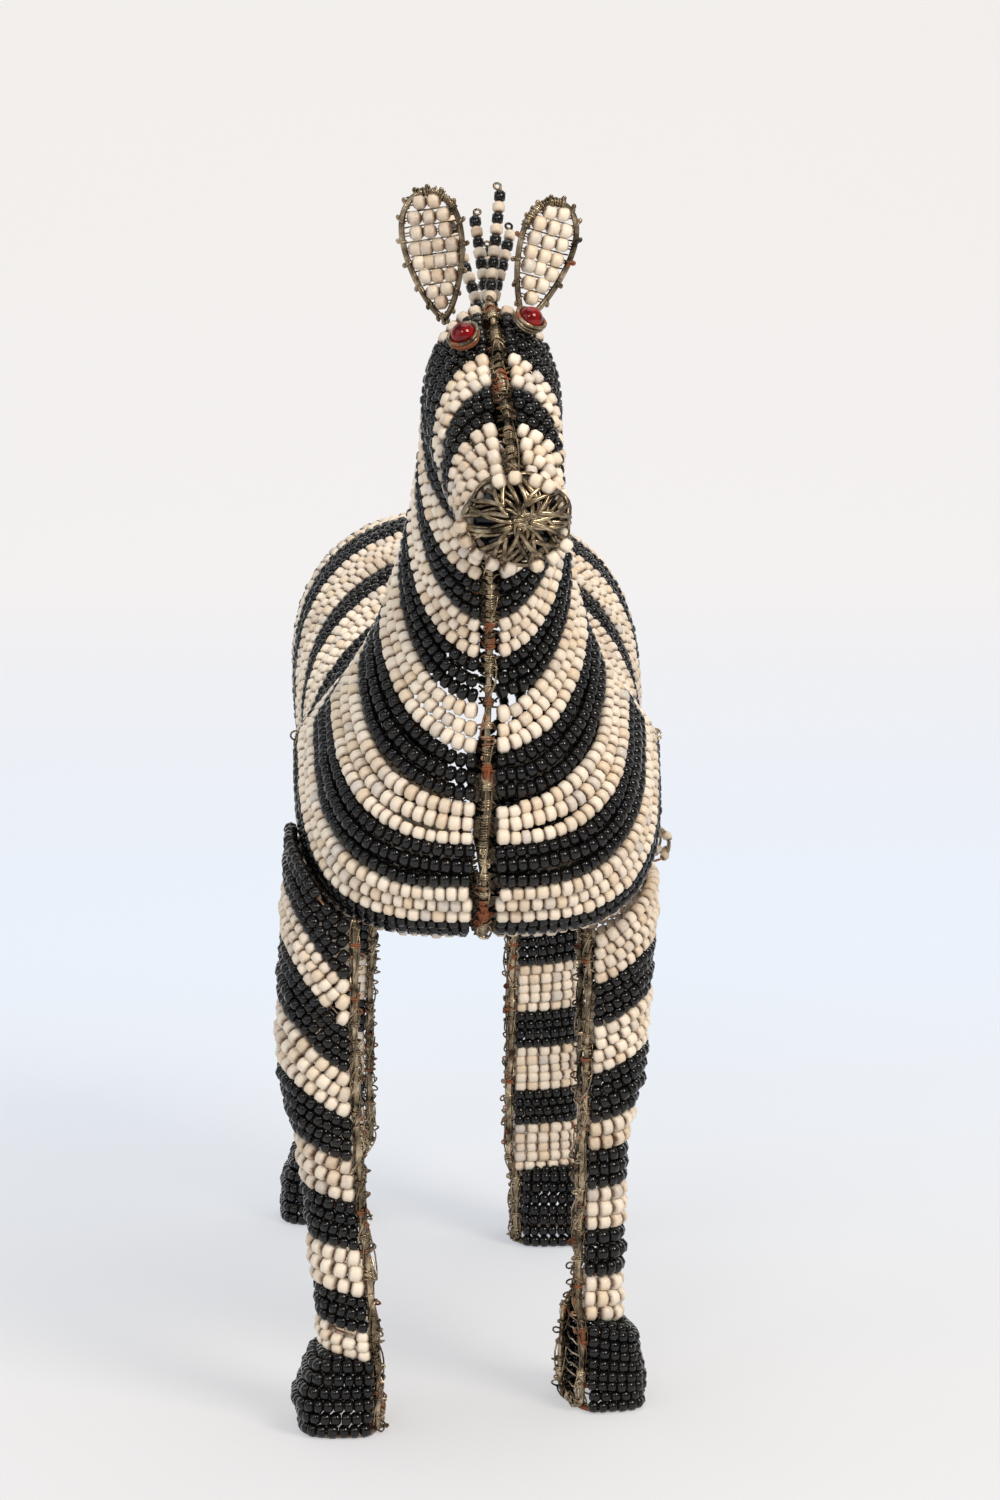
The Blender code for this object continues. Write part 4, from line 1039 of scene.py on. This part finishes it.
def noseDome(u, v, lift=0.0):
    # Flattened dome over the muzzle: u across and v up run from -1 to 1.
    fall = np.clip(u ** 2 + v ** 2, 0, 1)
    y = nose["y"] - (noseLook["depth"] - 0.4) * np.sqrt(np.clip(1 - fall, 0, 1)) - lift
    return np.stack([nose["x"] + u * nose["wide"], y, nose["z"] + v * nose["tall"]], -1)


# Doubled strands run from the rim past a knot low on the muzzle, over and under one another, and
# petals of wire bend back to the rim between them.
strands = []
knot = np.array([0.12, -0.08])
for k in range(noseLook["spokes"]):
    turn = 2 * math.pi * (k + rng.uniform(-0.28, 0.28)) / noseLook["spokes"]
    aim = np.array([math.cos(turn), math.sin(turn)])
    end = aim * rng.uniform(0.84, 0.96)
    start = knot - aim * rng.uniform(0.02, 0.42) + rng.normal(0, 0.07, 2)
    t = np.linspace(0, 1, 14)
    across = np.array([-aim[1], aim[0]])
    bow = rng.normal(0, 0.2)
    arch = rng.uniform(-0.6, 0.6)
    lift = -0.3 + arch * np.sin(t * math.pi) + 0.25 * np.sin(t * 8 + k * 2.3) - 0.35 * t ** 3 - 0.5 * (1 - t) ** 3
    for shift in (-0.07, 0.07):
        aside = bow * np.sin(t * math.pi) + shift * (0.6 + 0.6 * t)
        line = start + np.outer(t, end - start) + np.outer(aside, across)
        strands.append(noseDome(line[:, 0], line[:, 1], lift))
for k in range(noseLook["petals"]):
    turn = 2 * math.pi * (k + rng.uniform(-0.35, 0.35)) / noseLook["petals"]
    spread = rng.uniform(0.45, 1.0)
    t = np.linspace(0, 1, 17)
    a = turn + (t - 0.5) * spread * (0.35 + 1.3 * np.abs(t - 0.5))
    r = 1.0 - rng.uniform(0.35, 0.9) * np.sin(t * math.pi) ** 0.8
    lift = 0.05 + rng.uniform(0.2, 0.75) * np.sin(t * math.pi) + 0.2 * np.sin(t * 6 + k)
    strands.append(noseDome(np.cos(a) * r, np.sin(a) * r, lift))
rims = []
a = fullTurn(48)
for reach, lift in ((0.99, -0.5), (1.01, -1.2)):
    wave = reach + 0.035 * np.sin(a * 7 + reach * 30)
    rims.append(noseDome(np.cos(a) * wave, np.sin(a) * wave, lift + 0.12 * np.sin(a * 9)))
tubeMesh("nose_tangle", [(strands, noseLook["wire"], 7), (rims, 0.4, 6, True)], [noseMat],
         "nose_wire_knot")
# A black dome behind the tangle is painted shade: it darkens the gaps between the strands.
turn, reach = np.meshgrid(fullTurn(24), [0.96, 0.8, 0.6, 0.4, 0.15])
shadeDome = noseDome(np.cos(turn) * reach, np.sin(turn) * reach, -2.7).reshape(-1, 3)
corners, sizes, _ = cappedFaces(5, 24)
meshFrom("nose_tangle_shade_dome", shadeDome, sizes, corners, np.ones(len(sizes)), np.zeros(len(sizes)), [blackMat],
         "frame_wire")
rimBeads = Beads()
for turn in (-3.0, -2.68, -2.36, -2.02, -1.70, -1.22, -0.90, -0.56, 1.95, 1.62, 1.2, 0.9):
    reach, lift = (1.08, 0.0) if turn < 0 else (0.94, 0.5)
    p = noseDome(np.array([math.cos(turn) * reach]), np.array([math.sin(turn) * reach]), lift)
    rimBeads.add(p, [[-math.sin(turn), 0.2, math.cos(turn)]], [[0, -1, 0]], 2.3, 1.3, 0, 0.5)
beadMesh("nose_rim_beads", rimBeads)
print("nose")

# Pins of the mane: row, length, lean in degrees.
pinPitch = 2.25
pins = [(18.2, 26.2, 6.0), (20.2, 24.0, -6.0), (22.2, 24.5, 13.0), (24.3, 31.5, -14.0), (26.5, 26.5, 3.0),
        (29.2, 23.0, -5.0), (32.0, 19.5, 5.0), (35.0, 16.5, -4.0), (38.0, 13.5, 3.0)]
maneBeads = Beads()
pinWires, curls = [], []
railRows = np.linspace(17.2, 39.0, 40)
railCore, railInward = seamCore(17.2, 39.0, True, 40)
rail = railCore - railInward * (seamLook["inset"] + 1.05)
for number, (row, length, lean) in enumerate(pins):
    foot = np.array([np.interp(row, railRows, rail[:, k]) for k in range(3)])
    out = -np.array([np.interp(row, railRows, railInward[:, k]) for k in range(3)])
    line = unit(out * math.cos(math.radians(lean)) * [0, 1, 1] + [math.sin(math.radians(lean)), 0, 0])
    count = int((length - 3.4) / pinPitch)
    for k in range(count):
        dark = (k + number) % 2
        bead = blackBead if dark else creamBead
        maneBeads.add([foot + line * (1.4 + pinPitch * k)], [line + rng.normal(0, 0.05, 3)], [[0, -1, 0.1]],
                      2.1, bead["radius"] * rng.uniform(0.9, 1.02), dark, 0.45)
    top = foot + line * (1.4 + pinPitch * (count - 1) + 1.1)
    pinWires.append(foot + np.outer(np.linspace(0, 1, 5), top - foot))
    a = np.linspace(0, 1.75 * math.pi, 12)
    r = rng.uniform(0.5, 0.65)
    flat = unit(np.cross(line, [0, -1.0, 0.05])) * (1 if number % 2 else -1)
    stem = top + np.outer([0, 0.3, 0.6], line)
    hook = top + line * 0.9 + np.outer(r * (1 - np.cos(a)), flat) + np.outer(r * np.sin(a), line)
    curls.append(np.vstack([stem, hook]))
railWraps = [windingPath(rail, 0.55, 1.5, 0.2, t) for t in (0.0, 2.2)]
beadMesh("mane_beads", maneBeads, "cream_beads", "mane")
tubeMesh("mane_wires", [([rail], 0.4, 6), (railWraps, 0.19), (pinWires, 0.28), (curls, 0.25, 6)], [frameMat])
print("mane")

tailKeys = np.array([(1.5, 170.0, 146.0), (7.0, 175.5, 140.0), (17.0, 178.5, 129.0), (28.0, 179.0, 115.0),
                     (37.8, 177.5, 98.5), (43.8, 175.5, 85.5)])
rumpCore, rumpInward = seamCore(96.4, 96.6, True, 3)
root = rumpCore[1] - rumpInward[1] * (seamLook["inset"] + 0.6)
bend = rumpCore[1] - rumpInward[1] * (seamLook["inset"] + 5.0)
tailPath = catmull(np.vstack([root, bend, tailKeys]), np.linspace(0, 7, 80))
tailBeads = Beads()
tailLong = resample(tailPath, [0.0])[1]
at, number = 2.0, 0
while at < tailLong - 1.5:
    dark = (number // 3) % 2
    bead = blackBead if dark else creamBead
    p, _ = resample(tailPath, [at - 0.4, at, at + 0.4])
    tailBeads.add([p[1]], [p[2] - p[0]], [[0, 1, 0.2]], bead["length"], bead["radius"] * 1.05, dark, 0.5)
    at += bead["length"] * 1.02
    number += 1
beadMesh("tail_beads", tailBeads, "cream_beads", "tail")
tailLoops, loopBeads = [], Beads()
for turn, lean, size in ((10.0, -32.0, 4.6), (65.0, 12.0, 4.4), (-35.0, 30.0, 4.2), (30.0, -8.0, 3.4)):
    spin = rotation("Z", turn) @ rotation("X", lean)
    ring = wireRing([0, 0, -size], [1, 0, 0], [0, 0, 1], size, size, 22) @ spin.T + tailKeys[-1]
    tailLoops.append(ring)
    for k in range(1, 22, 3):
        if rng.random() < 0.6:
            loopBeads.add([ring[k]], [ring[(k + 1) % 22] - ring[k - 1]], [[0, 1, 0]], 1.9, 0.95, 0, 0.6)
beadMesh("tail_loop_beads", loopBeads)
tubeMesh("tail_wires", [([tailPath], 0.3, 6), (tailLoops, 0.3, 6, True)], [bindMat])
print("tail")

# Small knots at the shoulders where strings turn sharply, and the loop under the chest.
knotWires = []
for side in (-1, 1):
    centre = bodyPoint(49.2, side * math.pi / 2) + [side * -0.7, -0.3, 0.0]
    for _ in range(7):
        flat = unit(rng.normal(0, 1, 3))
        other = unit(np.cross(flat, rng.normal(0, 1, 3)))
        size = rng.uniform(0.6, 1.2)
        knotWires.append(wireRing(centre + rng.normal(0, 0.35, 3), flat, other, size, size, 12))
for shift in (0.0, 0.5):
    lowAt = bodyPoint(49.6, 0.0) + [0.2, 0.3 + shift, -0.4]
    knotWires.append(wireRing(lowAt, [1, 0, 0], [0, 0, 1], 1.3, 1.4, 18))
tubeMesh("body_knots", [(knotWires, 0.2, 5, True)], [noseMat])

# Pale room: one paint, and a faint glow, painted light whose colour shifts from floor to wall.
stageLook = dict(paint=(0.36, 0.355, 0.35), glow=[
    (0.49, (0.43, 0.43, 0.44)), (0.58, (0.44, 0.51, 0.60)), (0.76, (0.60, 0.58, 0.58)), (1.0, (0.60, 0.575, 0.545))])
stageMat, tree, shader = makeMaterial("backdropPaintAndGlow")
split = addNode(tree, "SeparateXYZ", Vector=tree.nodes.new("ShaderNodeTexCoord").outputs["Object"]).outputs
level = mathNode(tree, "ADD", mathNode(tree, "MULTIPLY", split["Y"], 0.35), split["Z"])
glow = ramp(tree, mapped(tree, level, 0.0, 1.0, -0.9, 0.9), stageLook["glow"])
fill(tree, shader, Base_Color=(*stageLook["paint"], 1.0), Roughness=0.9, Specular_IOR_Level=0.1,
     Emission_Color=glow, Emission_Strength=1.0)

# Floor that curves up into a wall behind the figure.
bend = np.linspace(0, math.pi / 2, 16)[1:]
along = np.concatenate([np.linspace(-3.0, 1.2, 20), 1.2 + 0.7 * np.sin(bend), np.full(8, 1.9)])
rise = np.concatenate([np.zeros(20), 0.7 - 0.7 * np.cos(bend), np.linspace(0.8, 3.0, 8)])
n = len(along)
points = np.concatenate([np.stack([np.full(n, x), along, rise], -1) for x in (-3.0, 3.0)])
quads = [(k, n + k, n + k + 1, k + 1) for k in range(n - 1)]
mesh = bpy.data.meshes.new("backdrop")
mesh.from_pydata([tuple(p) for p in points], [], quads)
mesh.polygons.foreach_set("use_smooth", np.ones(len(quads), bool))
mesh.materials.append(stageMat)
backdrop = bpy.data.objects.new("backdrop", mesh)
bpy.context.scene.collection.objects.link(backdrop)

lookAt = Vector(((anchor[0]) * mm, (anchor[1] + 10) * mm, 0.125))
lights = [
    ("key", (0.62, -0.75, 0.85), 0.42, 9.5, (1.0, 0.90, 0.78)),
    ("spark", (-0.25, -0.95, 0.70), 0.26, 2.0, (1.0, 0.96, 0.90)),
    ("fill", (-0.9, -0.6, 0.5), 0.9, 2.4, (0.84, 0.92, 1.0)),
    ("top", (0.1, 0.25, 1.2), 0.9, 3.6, (1.0, 0.99, 0.97)),
]
for name, spot, size, power, color in lights:
    data = bpy.data.lights.new(name, "AREA")
    data.size = size
    data.energy = power
    data.color = color
    lamp = bpy.data.objects.new(name, data)
    lamp.location = lookAt + Vector(spot)
    lamp.rotation_euler = (lookAt - lamp.location).to_track_quat("-Z", "Y").to_euler()
    bpy.context.scene.collection.objects.link(lamp)

world = bpy.data.worlds.new("world")
bpy.context.scene.world = world
world.use_nodes = True
sky = world.node_tree.nodes["Background"]
sky.inputs["Color"].default_value = (0.90, 0.94, 1.0, 1.0)
# Mirror-like reflections see a dimmer room, so that black beads stay black between their highlights.
ray = world.node_tree.nodes.new("ShaderNodeLightPath").outputs["Is Glossy Ray"]
feed(world.node_tree, mapped(world.node_tree, ray, 0.62, 0.24), sky.inputs["Strength"])
bpy.context.scene.view_settings.view_transform = "Standard"

# Camera at the photo's angle: 105 mm lens on the long side, 8.5 degrees down.
camLook = dict(lens=105.0, pitch=8.5, height=248.0, distance=798.0, yaw=2.2, offset=-3.8)
yaw, pitch = math.radians(camLook["yaw"]), math.radians(camLook["pitch"])
camX = -camLook["offset"] * math.cos(yaw) - camLook["distance"] * math.sin(yaw)
camY = camLook["offset"] * math.sin(yaw) - camLook["distance"] * math.cos(yaw)
camData = bpy.data.cameras.new("camera")
camData.lens = camLook["lens"]
camData.sensor_width = 36.0
camData.clip_start, camData.clip_end = 0.05, 20.0
camera = bpy.data.objects.new("camera", camData)
camera.location = ((camX + anchor[0]) * mm, (camY + anchor[1]) * mm, camLook["height"] * mm)
aim = Vector((math.sin(yaw) * math.cos(pitch), math.cos(yaw) * math.cos(pitch), -math.sin(pitch)))
camera.rotation_euler = aim.to_track_quat("-Z", "Y").to_euler()
bpy.context.scene.collection.objects.link(camera)
bpy.context.scene.camera = camera

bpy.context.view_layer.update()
